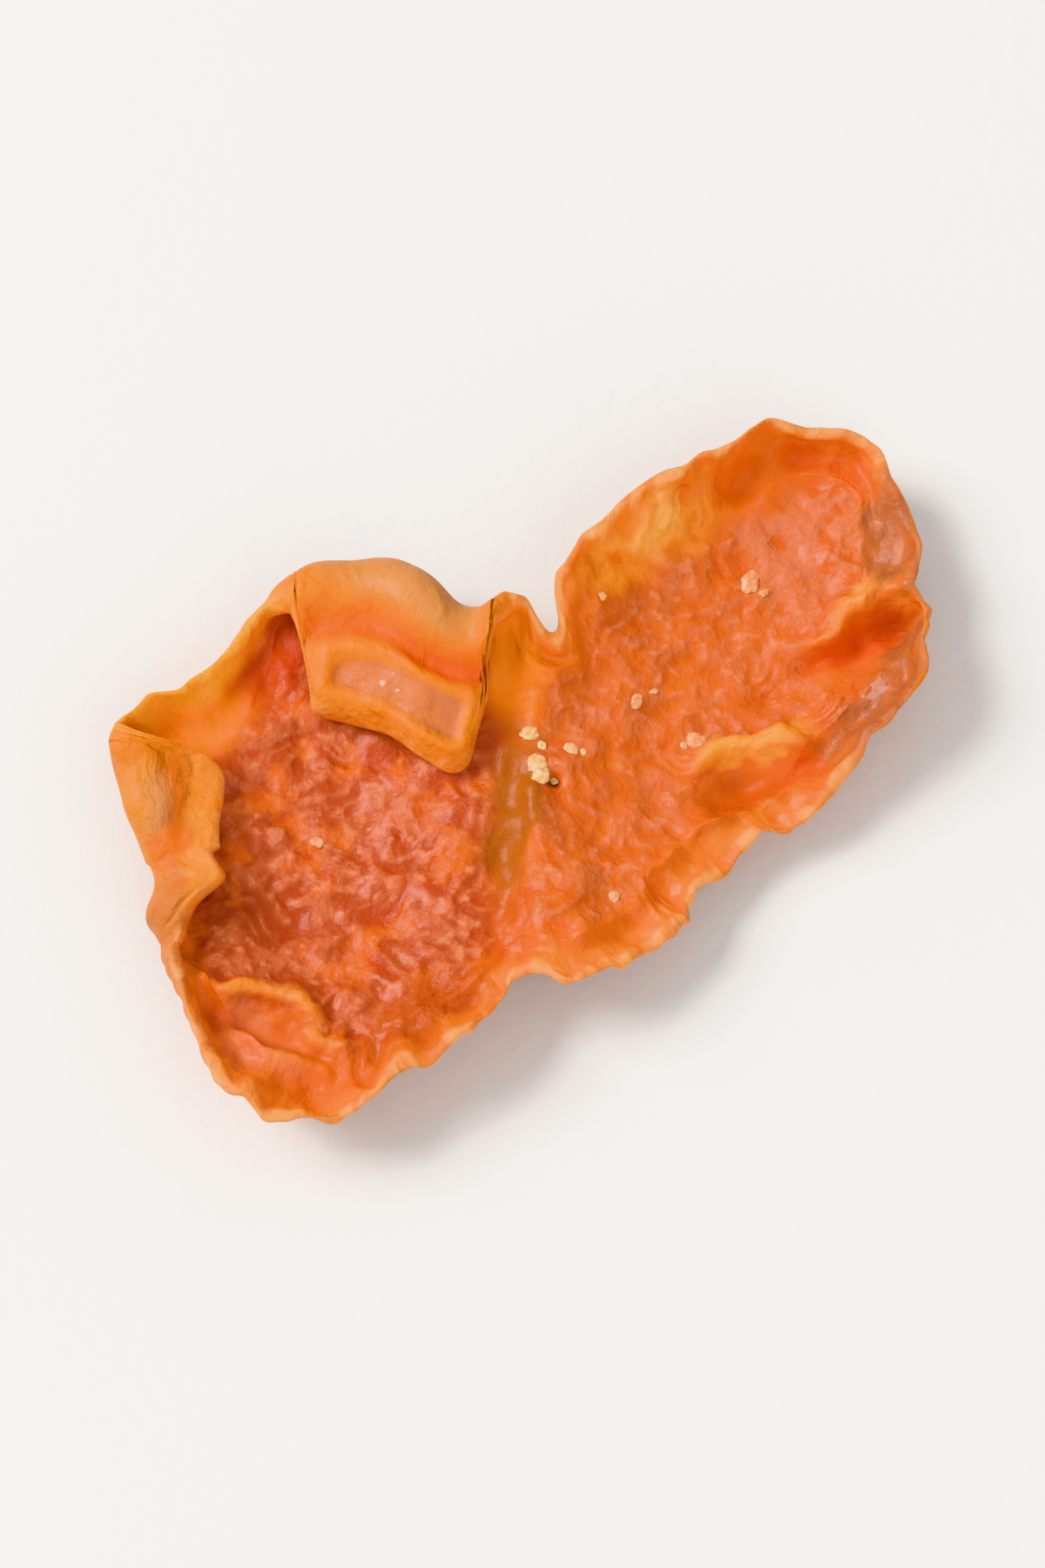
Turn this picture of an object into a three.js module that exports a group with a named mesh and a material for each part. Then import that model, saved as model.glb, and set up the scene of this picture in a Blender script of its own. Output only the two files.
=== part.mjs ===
// A dried apricot: one whole fruit that was split along its seam, stoned, opened out flat
// and dried. Its two halves are still joined by the strip of flesh and skin at the seam.
// The cut side faces up. The rim of each half has shrunk, risen and curled inwards.
// Millimetres, +Z up. The origin is on the resting plane, at the middle of the fruit's outline.

import * as THREE from 'three';
import { mergeVertices } from 'three/addons/utils/BufferGeometryUtils.js';

// Driving dimensions
const FLESH_THICKNESS = 3.1; // of the pulp over most of each half
const SEAM_THICKNESS = 2.2; // where the two halves join
const SEAM_HALF_WIDTH = 3.0;
const WALL_THICKNESS = 1.4; // of the rim where it rises
const EDGE_THICKNESS = 0.8; // of the rim at its thin edge
const ROLLED_THICKNESS = 1.9; // of the rim where it has rolled right over
const ROLLED_EDGE_RADIUS = 0.8;
const FOOT_CLEARANCE = 0.7; // how much smaller than the roll's radius the flesh's half thickness stays
const CUP_DEPTH = 3.5; // how far each half rises from its resting spot to the foot of its rim
const FLAT_DEPTH = 0.6; // how far each half is pressed flat on the resting plane
const SMALLEST_ROLL_RADIUS = 1.5; // of the middle of the rim's wall
const LEAST_LIFT = 0.8; // of the rim where it rises least
const ROLLED_OVER = [125, 160]; // degrees of turn between which the rim grows to its rolled thickness

// Mesh density
const AROUND = 132; // columns round the outline, an even number
const FLOOR_RINGS = 9; // from the middle line out to the foot of the rim
const ROLL_RINGS = 8; // round the curl of the rim
const EDGE_RINGS = 3; // round the rim's thin edge

// The two cups: middle, half width, half length and how far the long axis leans clockwise from +Y
const LEFT_CUP = { x: -14.2, y: -4.0, halfWidth: 14.0, halfLength: 20.6, lean: 0 };
const RIGHT_CUP = { x: 16.0, y: 8.6, halfWidth: 12.8, halfLength: 22.4, lean: THREE.MathUtils.degToRad(25) };
const CUP_BLEND = 0.35; // how softly the two cups meet at the seam
const FLOOR_BOW = 0.12; // share of the floor's length over which it leaves the rim's foot straight inwards

// The rim, from the left tip clockwise as seen from above. Each station is
// [x, y, lift, roll, reach]: a point on the outline, how high the rim rises there, through how
// many degrees it turns up and in, and how far its edge runs on past that turn.
const RIM = [
  [-28.5, 5.1, 2.0, 70, 0], // left tip
  [-26.4, 7.2, 2.4, 62, 0],
  [-23.4, 8.6, 2.8, 66, 0],
  [-20.9, 11.6, 3.2, 96, 0],
  [-17.9, 14.9, 3.6, 122, 0.2],
  [-13.5, 16.6, 4.1, 145, 0],
  [-9.2, 16.6, 4.1, 140, 0],
  [-5.8, 14.5, 3.9, 140, 0],
  [-2.8, 12.9, 2.7, 112, 0],
  [0.3, 14.1, 2.1, 66, 0], // upper notch
  [2.2, 12.7, 1.8, 66, 0],
  [2.6, 15.4, 2.6, 64, 0],
  [4.2, 18.7, 2.8, 56, 0],
  [7.1, 21.8, 3.0, 54, 0],
  [11.3, 24.3, 3.2, 58, 0],
  [14.7, 26.0, 3.4, 68, 0],
  [18.5, 27.9, 3.3, 86, 0],
  [22.8, 27.8, 3.2, 108, 0],
  [26.6, 26.4, 2.8, 88, 0],
  [28.2, 23.0, 2.6, 70, 0],
  [28.8, 18.6, 2.6, 66, 0],
  [28.9, 15.4, 2.8, 70, 0],
  [29.6, 12.2, 3.0, 78, 0], // right end
  [28.9, 8.0, 2.8, 76, 0],
  [26.4, 4.4, 2.6, 70, 0],
  [23.2, 1.6, 2.2, 66, 0],
  [20.6, -1.4, 1.7, 74, 0],
  [17.4, -3.3, 1.5, 56, 0],
  [14.0, -6.0, 1.4, 46, 0],
  [12.2, -8.0, 1.4, 44, 0],
  [11.5, -10.2, 1.5, 50, 0],
  [8.4, -12.4, 1.4, 48, 0],
  [4.6, -14.4, 1.2, 44, 0],
  [0.2, -14.3, 1.1, 40, 0], // lower notch
  [-1.7, -17.1, 1.5, 48, 0],
  [-5.0, -20.0, 2.0, 52, 0],
  [-8.1, -21.6, 2.4, 56, 0],
  [-10.9, -24.7, 2.8, 54, 0],
  [-15.4, -25.1, 2.9, 52, 0],
  [-19.0, -23.4, 2.9, 56, 0],
  [-21.8, -19.9, 2.9, 76, 0],
  [-23.8, -15.2, 2.8, 110, 0.5],
  [-24.6, -11.0, 2.8, 128, 0.8],
  [-25.6, -6.8, 3.2, 176, 4.2],
  [-26.9, -2.0, 3.3, 183, 4.0],
  [-27.9, 2.6, 3.0, 178, 3.9],
];

// The line down the middle of both halves, where the columns of the mesh start, and the
// stations that lie opposite its ends
const MIDDLE_LINE = [[-14.5, -3.5], [-0.5, -2.0], [16.0, 9.5]];
const LEFT_END = -2.6;
const RIGHT_END = 20.6;

// The flap is the stretch of rim, between two stations, that turned right over and lies on the
// flesh, skin up. Reach and heading (anticlockwise from +X) go from its left side to its right.
const FLAP = { from: 4.65, to: 8.25, roll: 184, reach: [8.3, 9.6], heading: [-91, -94] };
const FLAP_HALF_WIDTH = 6.2;
const FLAP_THICKNESS = 2.3;
const FLAP_CROWN = 0.5; // how far the middle of the flap bulges
const FLAP_DROOP = 0.7; // how far its border sinks towards the flesh
const FLAP_SWELL = 0.4; // how far the flap heaves up and down
const FLAP_CREASE = 1.3; // depth of the crease between the flap and the turn of the rim
const FLAP_PANEL_DEPTH = 0.7; // how far the middle of the flap has sunk inside its thick border
const FLAP_SWAY = 0.9; // how far the flap strays sideways as it goes
const FLAP_CORNERS = 0.25; // share of its reach that it loses at its rounded corners
const FLAP_FRAY = 0.08; // unevenness of its reach, as a share
const FLAP_TURN_SHARE = 0.5; // share of the rings up the wall that go into the turn before the flap
const LONGEST_TURN = 0.85; // share of the wall that the turn may take up elsewhere
const FLAP_SOFTNESS = { turn: 0.45, heading: 0.7, border: 0.22 }; // stations over which each begins and ends

// The rim dried in uneven waves and smaller crimps. Both change its roll, in degrees, its lift and
// its reach, as shares of them, and its outline, in millimetres.
const WAVE = { around: 26, roll: 18, lift: 0.35, reach: 0.6, outline: 0.7 };
const CRIMP = { around: 64, roll: 12, lift: 0.25, reach: 0.5, outline: 0.45 };

// Relief over the whole fruit: how high each pattern stands and how wide its bumps are
const BUCKLES = [{ height: 1.5, width: 8.5, seed: 3 }, { height: 0.7, width: 4.2, seed: 4 }];
const LUMPS = [{ height: 0.55, width: 3.6, seed: 5 }, { height: 0.4, width: 2.1, seed: 6 }];
const SKIN_WRINKLES = { height: 0.6, width: 1.9, length: 7, sway: 1.6, seed: 8 };
const SKIN_LUMPS = [{ height: 0.4, width: 3, seed: 9 }];
const PLEATS = [{ depth: 0.5, around: 46, seed: 12 }, { depth: 0.3, around: 84, seed: 13 }];
const PLEAT_LUMPS = [{ height: 0.6, width: 3.2, seed: 35 }];
const DENT_DEPTH = 0.7; // of the rim's wall
const FOLD_SWAY = 0.9; // how far a fold strays off its path

// Stretches of rim that dried crimped, between two stations
const CRIMPED = [[9.5, 14.5], [20.5, 23], [25.5, 33], [36, 44]];
const LEAST_CRIMPED = 0.4; // share of that everywhere else

// Folds and creases of the cut side. Each runs through points of [x, y, height, half width],
// and a negative height is a crease.
const FOLDS = [
  [
    [29.4, 16.9, 0.6, 1], [27, 16.5, 1.3, 1], [24.2, 14.9, 1.5, 1],
    [22, 12.7, 1.1, 1], [19.4, 11.9, 0.3, 1],
  ],
  [
    [28.8, 14.4, -0.9, 1], [27, 13.6, -1.4, 1.1], [23.9, 12, -1.4, 1.1],
    [20.4, 11, -0.9, 1], [18.4, 10.6, -0.2, 1],
  ],
  [
    [11.8, 2.6, 0.3, 0.8], [13.3, 3.5, 1.3, 0.8], [15.4, 4.5, 1.5, 0.8],
    [17.1, 4.8, 1.2, 0.9], [18.9, 5.1, 1.5, 0.9], [20.8, 4.6, 0.6, 0.9],
  ],
  [[13.6, 0.6, -0.5, 1.1], [16.4, 1.6, -1, 1.2], [19.6, 2.4, -1, 1.1], [22, 4, -0.2, 1]],
  [[12.6, -3.4, 0.3, 0.8], [14.6, -2, 1.1, 0.8], [17, -1.4, 0.8, 0.9], [19.6, 0.2, 0.5, 0.9]],
  [[8.9, -5.4, 0.2, 0.8], [11.2, -4.4, 0.9, 0.8], [12.6, -5.2, 0.4, 0.8]],
  [
    [-23.2, -13.9, 0.5, 1], [-20.6, -14.2, 1.3, 0.9], [-17.7, -14, 1.3, 0.9],
    [-15.1, -14.9, 1.2, 1], [-13.2, -16.6, 0.3, 1],
  ],
  [[-21.8, -16, -0.4, 1.3], [-18.8, -16.8, -1, 1.3], [-16, -18, -0.6, 1.1]],
  [
    [-19.6, -17.6, 0.3, 0.8], [-17.6, -19.6, 1.4, 0.8], [-15.4, -19.8, 1.4, 0.8],
    [-13.4, -20.6, 1, 0.9],
  ],
  [[-14.4, -17.6, 0.9, 0.9], [-12.6, -18.8, 0.8, 0.9]],
  [[-8.2, -17.4, 0.2, 0.7], [-8, -19.4, 1.1, 0.8], [-8.6, -21.8, 0.8, 0.8]],
  [[11.2, 24.8, 0.5, 0.9], [10.7, 22.8, 1.1, 0.9], [11.1, 20.8, 0.5, 1]],
  [[7.2, 23.2, 0.4, 0.9], [9.2, 21.4, 0.9, 0.9], [8.4, 19.2, 0.5, 0.9]],
  [[5.2, 19.6, 0.3, 0.8], [7.6, 19, 0.7, 0.8], [10.4, 18.2, 0.4, 0.9]],
  [[12.8, 24, -0.6, 1.1], [15.2, 24.4, -1, 1.2], [17.8, 25.4, -0.4, 1]],
  [[20.5, 26.8, -0.6, 1.1], [24.5, 26, -0.6, 1.1]],
  [[0, 12, -0.6, 1.6], [-0.5, 8, -1.2, 1.7], [-1, 3.5, -0.2, 1.6]],
  [[2.8, 15, 0.6, 1.4], [2.6, 10, 0.8, 1.5], [2.2, 4, 0.1, 1.4]],
  [[0.1, 3, -0.2, 1.1], [-0.6, -4, -0.6, 1.2], [-0.6, -12.5, -0.2, 1.2]],
];

const { lerp, smoothstep, clamp, degToRad } = THREE.MathUtils;

const middleLine = new THREE.QuadraticBezierCurve(...MIDDLE_LINE.map(([x, y]) => new THREE.Vector2(x, y)));
const rimLine = closedCurve(([x, y]) => new THREE.Vector3(x, y, 0));
const rimForm = closedCurve(([, , lift, roll, reach]) => new THREE.Vector3(lift, roll, reach));

function closedCurve(pick) {
  return new THREE.CatmullRomCurve3(RIM.map(pick), true, 'catmullrom', 0.5);
}

// A curve of the rim at a station, which may lie before the first or after the last
function atStation(curve, station) {
  const turns = station / RIM.length;
  return curve.getPoint(turns - Math.floor(turns));
}

// Smooth noise, from about -0.7 to 0.7, made of a random slope at each whole x and y
function slopeNoise(x, y, seed) {
  const column = Math.floor(x);
  const row = Math.floor(y);
  const dx = x - column;
  const dy = y - row;
  const pull = (right, up) => {
    const wild = Math.sin((column + right) * 127.1 + (row + up) * 311.7 + seed * 74.7) * 43758.5453;
    const angle = 2 * Math.PI * (wild - Math.floor(wild));
    return (dx - right) * Math.cos(angle) + (dy - up) * Math.sin(angle);
  };
  const across = THREE.MathUtils.smootherstep(dx, 0, 1);
  const upward = THREE.MathUtils.smootherstep(dy, 0, 1);
  return lerp(lerp(pull(0, 0), pull(1, 0), across), lerp(pull(0, 1), pull(1, 1), across), upward);
}

// The sum of several patterns of bumps
function bumps(patterns, x, y) {
  const bump = ({ height, width, seed }) => height * slopeNoise(x / width, y / width, seed);
  return patterns.reduce((sum, pattern) => sum + bump(pattern), 0);
}

// Uneven waves along the rim, which close up after the given number and change with the way inward
function ruffle(station, waves, seed, inward = 0) {
  const turn = (2 * Math.PI * station) / RIM.length;
  const ring = waves / (2 * Math.PI) + inward;
  return slopeNoise(ring * Math.cos(turn), ring * Math.sin(turn), seed);
}

// 0 in the middle of a cup and 1 at its edge
function fromCupMiddle(cup, x, y) {
  const dx = x - cup.x;
  const dy = y - cup.y;
  const across = dx * Math.cos(cup.lean) - dy * Math.sin(cup.lean);
  const along = dx * Math.sin(cup.lean) + dy * Math.cos(cup.lean);
  return (across / cup.halfWidth) ** 2 + (along / cup.halfLength) ** 2;
}

// Height of the skin side before it is pressed flat: two shallow, buckled cups that meet at the seam
function cupHeight(x, y) {
  const left = fromCupMiddle(LEFT_CUP, x, y);
  const right = fromCupMiddle(RIGHT_CUP, x, y);
  const overlap = Math.max(CUP_BLEND - Math.abs(left - right), 0);
  const nearer = Math.min(left, right) - overlap ** 2 / (4 * CUP_BLEND);
  return CUP_DEPTH * nearer - FLAT_DEPTH + bumps(BUCKLES, x, y) * smoothstep(nearer, 0.25, 0.95);
}

// A ridge or crease along a path, whose height and width change from point to point
function foldRelief(fold, x, y) {
  let nearest = Infinity;
  let relief = 0;
  for (let k = 1; k < fold.length; k++) {
    const [ax, ay, aHeight, aWidth] = fold[k - 1];
    const [bx, by, bHeight, bWidth] = fold[k];
    const span = (bx - ax) ** 2 + (by - ay) ** 2;
    const t = clamp(((x - ax) * (bx - ax) + (y - ay) * (by - ay)) / span, 0, 1);
    const distance = Math.hypot(x - lerp(ax, bx, t), y - lerp(ay, by, t));
    if (distance < nearest) {
      nearest = distance;
      relief = lerp(aHeight, bHeight, t) * Math.exp(-((distance / lerp(aWidth, bWidth, t)) ** 2));
    }
  }
  return relief;
}

// All folds, each swaying a little off its path
function foldsRelief(x, y) {
  const swayX = x + FOLD_SWAY * slopeNoise(x / 2.8, y / 2.8, 31);
  const swayY = y + FOLD_SWAY * slopeNoise(x / 2.8, y / 2.8, 32);
  return FOLDS.reduce((sum, fold) => sum + foldRelief(fold, swayX, swayY), 0);
}

// Wrinkles of the skin side, which run the length of each half
function skinRelief(x, y) {
  const { height, width, length, sway, seed } = SKIN_WRINKLES;
  const shift = sway * slopeNoise(x / 9, y / 9, 7);
  const wrinkles = height * slopeNoise((x + shift) / width, (y + shift) / length, seed);
  return wrinkles + bumps(SKIN_LUMPS, x, y);
}

function fleshThickness(x) {
  return lerp(FLESH_THICKNESS, SEAM_THICKNESS, Math.exp(-((x / SEAM_HALF_WIDTH) ** 2)));
}

// How far a station lies inside a stretch of rim, 0 to 1
function within(from, to, station, softness) {
  const begun = smoothstep(station, from - softness, from + softness);
  return begun - smoothstep(station, to - softness, to + softness);
}

function crimpedAt(station) {
  const inStretches = CRIMPED.reduce((sum, [from, to]) => sum + within(from, to, station, 0.5), 0);
  return lerp(LEAST_CRIMPED, 1, Math.min(inStretches, 1));
}

// Everything that a column of the mesh needs: where it meets the rim and how the rim curls there
function columnAt(i) {
  const half = Math.floor((2 * i) / AROUND);
  const share = (2 * i) / AROUND - half;
  const station = half === 0
    ? lerp(LEFT_END, RIGHT_END, share)
    : lerp(RIGHT_END, RIM.length + LEFT_END, share);
  const edge = atStation(rimLine, station);
  const ahead = atStation(rimLine, station + 0.8);
  const behind = atStation(rimLine, station - 0.8);
  const form = atStation(rimForm, station);
  const middle = middleLine.getPoint(half === 0 ? share : 1 - share);
  const toMiddle = new THREE.Vector2(middle.x - edge.x, middle.y - edge.y).normalize();
  const inward = new THREE.Vector2(ahead.y - behind.y, behind.x - ahead.x).normalize();
  inward.add(toMiddle).normalize();

  const wave = ruffle(station, WAVE.around, 1);
  const crimped = crimpedAt(station);
  const crimp = crimped * ruffle(station, CRIMP.around, 2);

  const { turn, heading: turning, border } = FLAP_SOFTNESS;
  const flap = within(FLAP.from - turn, FLAP.to + turn, station, turn);
  const headed = within(FLAP.from - turning, FLAP.to + turning, station, turning);
  // -1 at the left side of the flap and 1 at its right
  const flapSide = (2 * (station - FLAP.from)) / (FLAP.to - FLAP.from) - 1;
  const heading = degToRad(lerp(...FLAP.heading, (flapSide + 1) / 2));
  inward.lerp(new THREE.Vector2(Math.cos(heading), Math.sin(heading)), headed).normalize();
  const frayed = 1 - FLAP_CORNERS * clamp(flapSide, -1, 1) ** 4 + FLAP_FRAY * ruffle(station, 40, 18);
  const flapReach = lerp(...FLAP.reach, (flapSide + 1) / 2) * frayed
    * within(FLAP.from, FLAP.to, station, border);

  const angle = degToRad(lerp(form.y + WAVE.roll * wave + CRIMP.roll * crimp, FLAP.roll, flap));
  const reach = Math.max(form.z * (1 + WAVE.reach * wave + CRIMP.reach * crimp), 0) + flapReach;
  const rolled = smoothstep(THREE.MathUtils.radToDeg(angle), ...ROLLED_OVER);
  const thinEdgeRadius = EDGE_THICKNESS * (0.5 + 0.3 * ruffle(station, 34, 11));
  const edgeRadius = lerp(thinEdgeRadius, ROLLED_EDGE_RADIUS, rolled);
  const lift = Math.max(form.x * (1 + WAVE.lift * wave + CRIMP.lift * crimp), LEAST_LIFT);
  const radius = Math.max(lift / (1 - Math.cos(Math.min(angle, Math.PI))), SMALLEST_ROLL_RADIUS);
  const overhang = (radius + WALL_THICKNESS / 2) * Math.sin(Math.min(angle, Math.PI / 2));
  const outward = WAVE.outline * wave + CRIMP.outline * crimp;
  const foot = new THREE.Vector2(edge.x, edge.y).addScaledVector(inward, overhang - outward);
  const bend = foot.clone().addScaledVector(inward, FLOOR_BOW * foot.distanceTo(middle));
  return {
    station, inward, angle, radius, foot, crimped, rolled, flap, flapSide, flapReach,
    length: radius * angle + reach,
    edgeRadius: lerp(edgeRadius, FLAP_THICKNESS / 2, flap),
    wallThickness: lerp(lerp(WALL_THICKNESS, ROLLED_THICKNESS, rolled), FLAP_THICKNESS, flap),
    floor: new THREE.QuadraticBezierCurve(middle, bend, foot),
  };
}

// How far along the rim's wall a ring lies from the wall's foot, and the wall's fullness there,
// which falls from 1 to 0 round the thin edge
function alongWall({ length, edgeRadius, radius, angle, flap }, ring) {
  const wallRing = ring - FLOOR_RINGS;
  if (wallRing <= 0) return { along: 0, fullness: 1 };
  if (wallRing <= ROLL_RINGS) {
    const share = wallRing / ROLL_RINGS;
    const whole = length - edgeRadius;
    const turn = Math.min(radius * angle, LONGEST_TURN * whole);
    const split = lerp(turn / whole, FLAP_TURN_SHARE, flap);
    if (share < split) return { along: (turn * share) / split, fullness: 1 };
    return { along: lerp(turn, whole, (share - split) / (1 - split)), fullness: 1 };
  }
  const round = ((wallRing - ROLL_RINGS) / EDGE_RINGS) * (Math.PI / 2);
  return { along: length - edgeRadius + edgeRadius * Math.sin(round), fullness: Math.cos(round) };
}

// One point of the fruit: side is 1 on the cut side and -1 on the skin side
function pointAt(column, ring, side) {
  const { station, inward, angle, radius, foot, length, crimped, edgeRadius, floor } = column;
  const { wallThickness, rolled, flap, flapSide, flapReach } = column;
  const { along, fullness } = alongWall(column, ring);
  const onFloor = ring <= FLOOR_RINGS;
  const floorShare = Math.min(ring / FLOOR_RINGS, 1);
  const turned = Math.min(along / radius, angle);
  const beyond = Math.max(along - radius * angle, 0);
  const out = radius * Math.sin(turned) + beyond * Math.cos(turned);
  const up = radius * (1 - Math.cos(turned)) + beyond * Math.sin(turned);
  const plan = onFloor ? floor.getPoint(floorShare) : foot.clone().addScaledVector(inward, -out);
  const sideways = flap * smoothstep(beyond, 0, 2) * FLAP_SWAY * slopeNoise(beyond / 3.1, station / 2.5, 33);
  plan.x -= inward.y * sideways;
  plan.y += inward.x * sideways;

  const flesh = fleshThickness(plan.x);
  const atFoot = clamp(2 * (radius - FOOT_CLEARANCE), WALL_THICKNESS, flesh);
  const floorThickness = lerp(flesh, atFoot, smoothstep(floorShare, 0.45, 1));
  const wall = lerp(floorThickness, wallThickness, smoothstep(along / length, 0, 0.5));
  const thickness = lerp(wall, 2 * edgeRadius, smoothstep(along / length, 0.3, 1)) * fullness;
  const [wide, narrow] = PLEATS;
  const pleats = wide.depth * ruffle(station, wide.around, wide.seed, along / 6)
    + narrow.depth * ruffle(station, narrow.around, narrow.seed, along / 3)
    + bumps(PLEAT_LUMPS, plan.x, plan.y);
  const pleat = pleats * crimped * smoothstep(floorShare, 0.6, 1) * (1 - 0.5 * flap);
  const dented = DENT_DEPTH * smoothstep(along, 0.5, 3) * (1 - 0.6 * Math.max(flap, rolled));
  const dent = dented * ruffle(station, 50, 14, along / 3);
  const cup = cupHeight(plan.x, plan.y);
  const underFlap = flap * smoothstep(floorShare, 0.2, 0.5);
  const covered = Math.max(underFlap, rolled * smoothstep(floorShare, 0.6, 0.8));
  const cutRelief = bumps(LUMPS, plan.x, plan.y) * (1 - 0.7 * covered) + foldsRelief(plan.x, plan.y);
  // Where the flesh thins out towards the rim, the skin side follows the folds of the cut side
  const relief = side > 0
    ? cutRelief
    : skinRelief(plan.x, plan.y) * smoothstep(cup, 0, 1) + cutRelief * smoothstep(floorShare, 0.55, 0.9);
  const flatness = clamp(1.6 * Math.cos(turned), 0, 1);
  const offset = (side * thickness) / 2 + fullness * flatness * relief + pleat + dent;

  const crown = FLAP_CROWN * Math.sin(Math.PI * Math.min(beyond / Math.max(flapReach, 1), 1))
    * clamp(1 - flapSide ** 2, 0, 1);
  const pastCrease = along - radius * angle - 2.2 - 0.6 * flapSide - ruffle(station, 24, 19);
  const crease = FLAP_CREASE * (1 + 0.8 * ruffle(station, 30, 15)) * Math.exp(-((pastCrease / 1.1) ** 2))
    * (side < 0 ? 1 : 0.6);
  const fromBorder = Math.min(FLAP_HALF_WIDTH * (1 - Math.abs(flapSide)), length - along);
  const droop = FLAP_DROOP * (1 - smoothstep(fromBorder, 0, 1.5)) * smoothstep(beyond, 0.5, 3);
  const panel = FLAP_PANEL_DEPTH * smoothstep(fromBorder, 1, 2.2) * smoothstep(beyond, 3.8, 5);
  const swell = FLAP_SWELL * smoothstep(beyond, 1, 4) * slopeNoise(plan.x / 4.5, plan.y / 4.5, 34);
  const onFlap = crown - crease - droop + swell - (side < 0 ? panel : 0);
  const height = cup + flesh / 2 + up + flap * onFlap + Math.cos(turned) * offset;
  return new THREE.Vector3(
    plan.x + inward.x * Math.sin(turned) * offset,
    plan.y + inward.y * Math.sin(turned) * offset,
    Math.max(height, 0),
  );
}

// A plane of columns and rows is wrapped over the fruit: its rows run from the middle line
// over the cut side, round the rim's edge and back under the skin side to the middle line.
// The columns run clockwise round the fruit, so they fill the plane from its far end.
function apricotGeometry() {
  const rings = FLOOR_RINGS + ROLL_RINGS + EDGE_RINGS;
  const geometry = new THREE.PlaneGeometry(1, 1, AROUND, 2 * rings);
  const positions = geometry.attributes.position;
  for (let i = 0; i <= AROUND; i++) {
    const column = columnAt(i % AROUND);
    for (let row = 0; row <= 2 * rings; row++) {
      const ring = row <= rings ? row : 2 * rings - row;
      const point = pointAt(column, ring, row <= rings ? 1 : -1);
      positions.setXYZ(row * (AROUND + 1) + AROUND - i, point.x, point.y, point.z);
    }
  }
  geometry.deleteAttribute('normal');
  geometry.deleteAttribute('uv');
  geometry.computeBoundingBox();
  const { min, max } = geometry.boundingBox;
  geometry.translate(-(min.x + max.x) / 2, -(min.y + max.y) / 2, -min.z);
  const welded = mergeVertices(geometry, 1e-4);
  welded.computeVertexNormals();
  return welded;
}

const driedFlesh = new THREE.MeshStandardMaterial({ color: 0xd9692b, roughness: 0.5, metalness: 0 });

const apricot = new THREE.Group();
const fruit = new THREE.Mesh(apricotGeometry(), driedFlesh);
fruit.name = 'dried_apricot';
apricot.add(fruit);

export default apricot;
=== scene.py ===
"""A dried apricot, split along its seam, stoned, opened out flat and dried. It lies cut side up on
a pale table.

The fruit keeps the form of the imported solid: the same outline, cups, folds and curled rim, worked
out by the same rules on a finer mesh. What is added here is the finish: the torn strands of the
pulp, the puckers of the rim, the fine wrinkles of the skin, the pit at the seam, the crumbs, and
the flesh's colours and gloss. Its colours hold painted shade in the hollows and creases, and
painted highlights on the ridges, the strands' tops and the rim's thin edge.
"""

import math
from types import SimpleNamespace

import bpy
import numpy as np
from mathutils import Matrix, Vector


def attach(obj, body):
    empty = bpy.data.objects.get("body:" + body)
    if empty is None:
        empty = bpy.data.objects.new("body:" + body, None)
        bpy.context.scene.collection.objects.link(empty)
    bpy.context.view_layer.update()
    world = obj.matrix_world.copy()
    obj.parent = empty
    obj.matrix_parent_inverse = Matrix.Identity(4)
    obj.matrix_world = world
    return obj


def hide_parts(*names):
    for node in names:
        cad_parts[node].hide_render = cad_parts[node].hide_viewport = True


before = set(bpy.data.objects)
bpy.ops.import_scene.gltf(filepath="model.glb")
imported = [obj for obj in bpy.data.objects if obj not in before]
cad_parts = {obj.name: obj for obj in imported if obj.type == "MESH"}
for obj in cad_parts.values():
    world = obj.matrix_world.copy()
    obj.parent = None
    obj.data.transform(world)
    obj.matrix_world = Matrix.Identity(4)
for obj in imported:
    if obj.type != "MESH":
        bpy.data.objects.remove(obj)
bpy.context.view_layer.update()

MM = 0.001

# The fruit's form, in millimetres
FLESH_THICKNESS = 3.1  # of the pulp over most of each half
SEAM_THICKNESS = 2.2  # where the two halves join
SEAM_HALF_WIDTH = 3.0
WALL_THICKNESS = 1.4  # of the rim where it rises
EDGE_THICKNESS = 0.8  # of the rim at its thin edge
EDGE_UNEVENNESS = 0.3  # of that edge's radius, as a share of its thickness
ROLLED_THICKNESS = 1.9  # of the rim where it has rolled right over
ROLLED_EDGE_RADIUS = 0.8
FOOT_CLEARANCE = 0.7  # how much smaller than the roll's radius the flesh's half thickness stays
CUP_DEPTH = 3.5  # how far each half rises from its resting spot to the foot of its rim
FLAT_DEPTH = 0.6  # how far each half is pressed flat on the resting plane
SMALLEST_ROLL_RADIUS = 1.5  # of the middle of the rim's wall
LEAST_LIFT = 0.8  # of the rim where it rises least
ROLLED_OVER = (125, 160)  # degrees of turn between which the rim grows to its rolled thickness

# Mesh density
AROUND = 600  # columns round the outline
PULP_RINGS = 56  # from the middle line to the foot of the rim, over the cut side
SKIN_RINGS = 30  # the same, under the skin side
ROLL_RINGS = 34  # up the rim's wall
EDGE_RINGS = 5  # round the rim's thin edge

# The two cups: middle, half width, half length and how far the long axis leans clockwise from +Y
LEFT_CUP = dict(x=-14.2, y=-4.0, half_width=14.0, half_length=20.6, lean=0.0)
RIGHT_CUP = dict(x=16.0, y=8.6, half_width=12.8, half_length=22.4, lean=math.radians(25))
CUP_BLEND = 0.35  # how softly the two cups meet at the seam
FLOOR_BOW = 0.12  # share of the floor's length over which it leaves the rim's foot straight inwards

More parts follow.
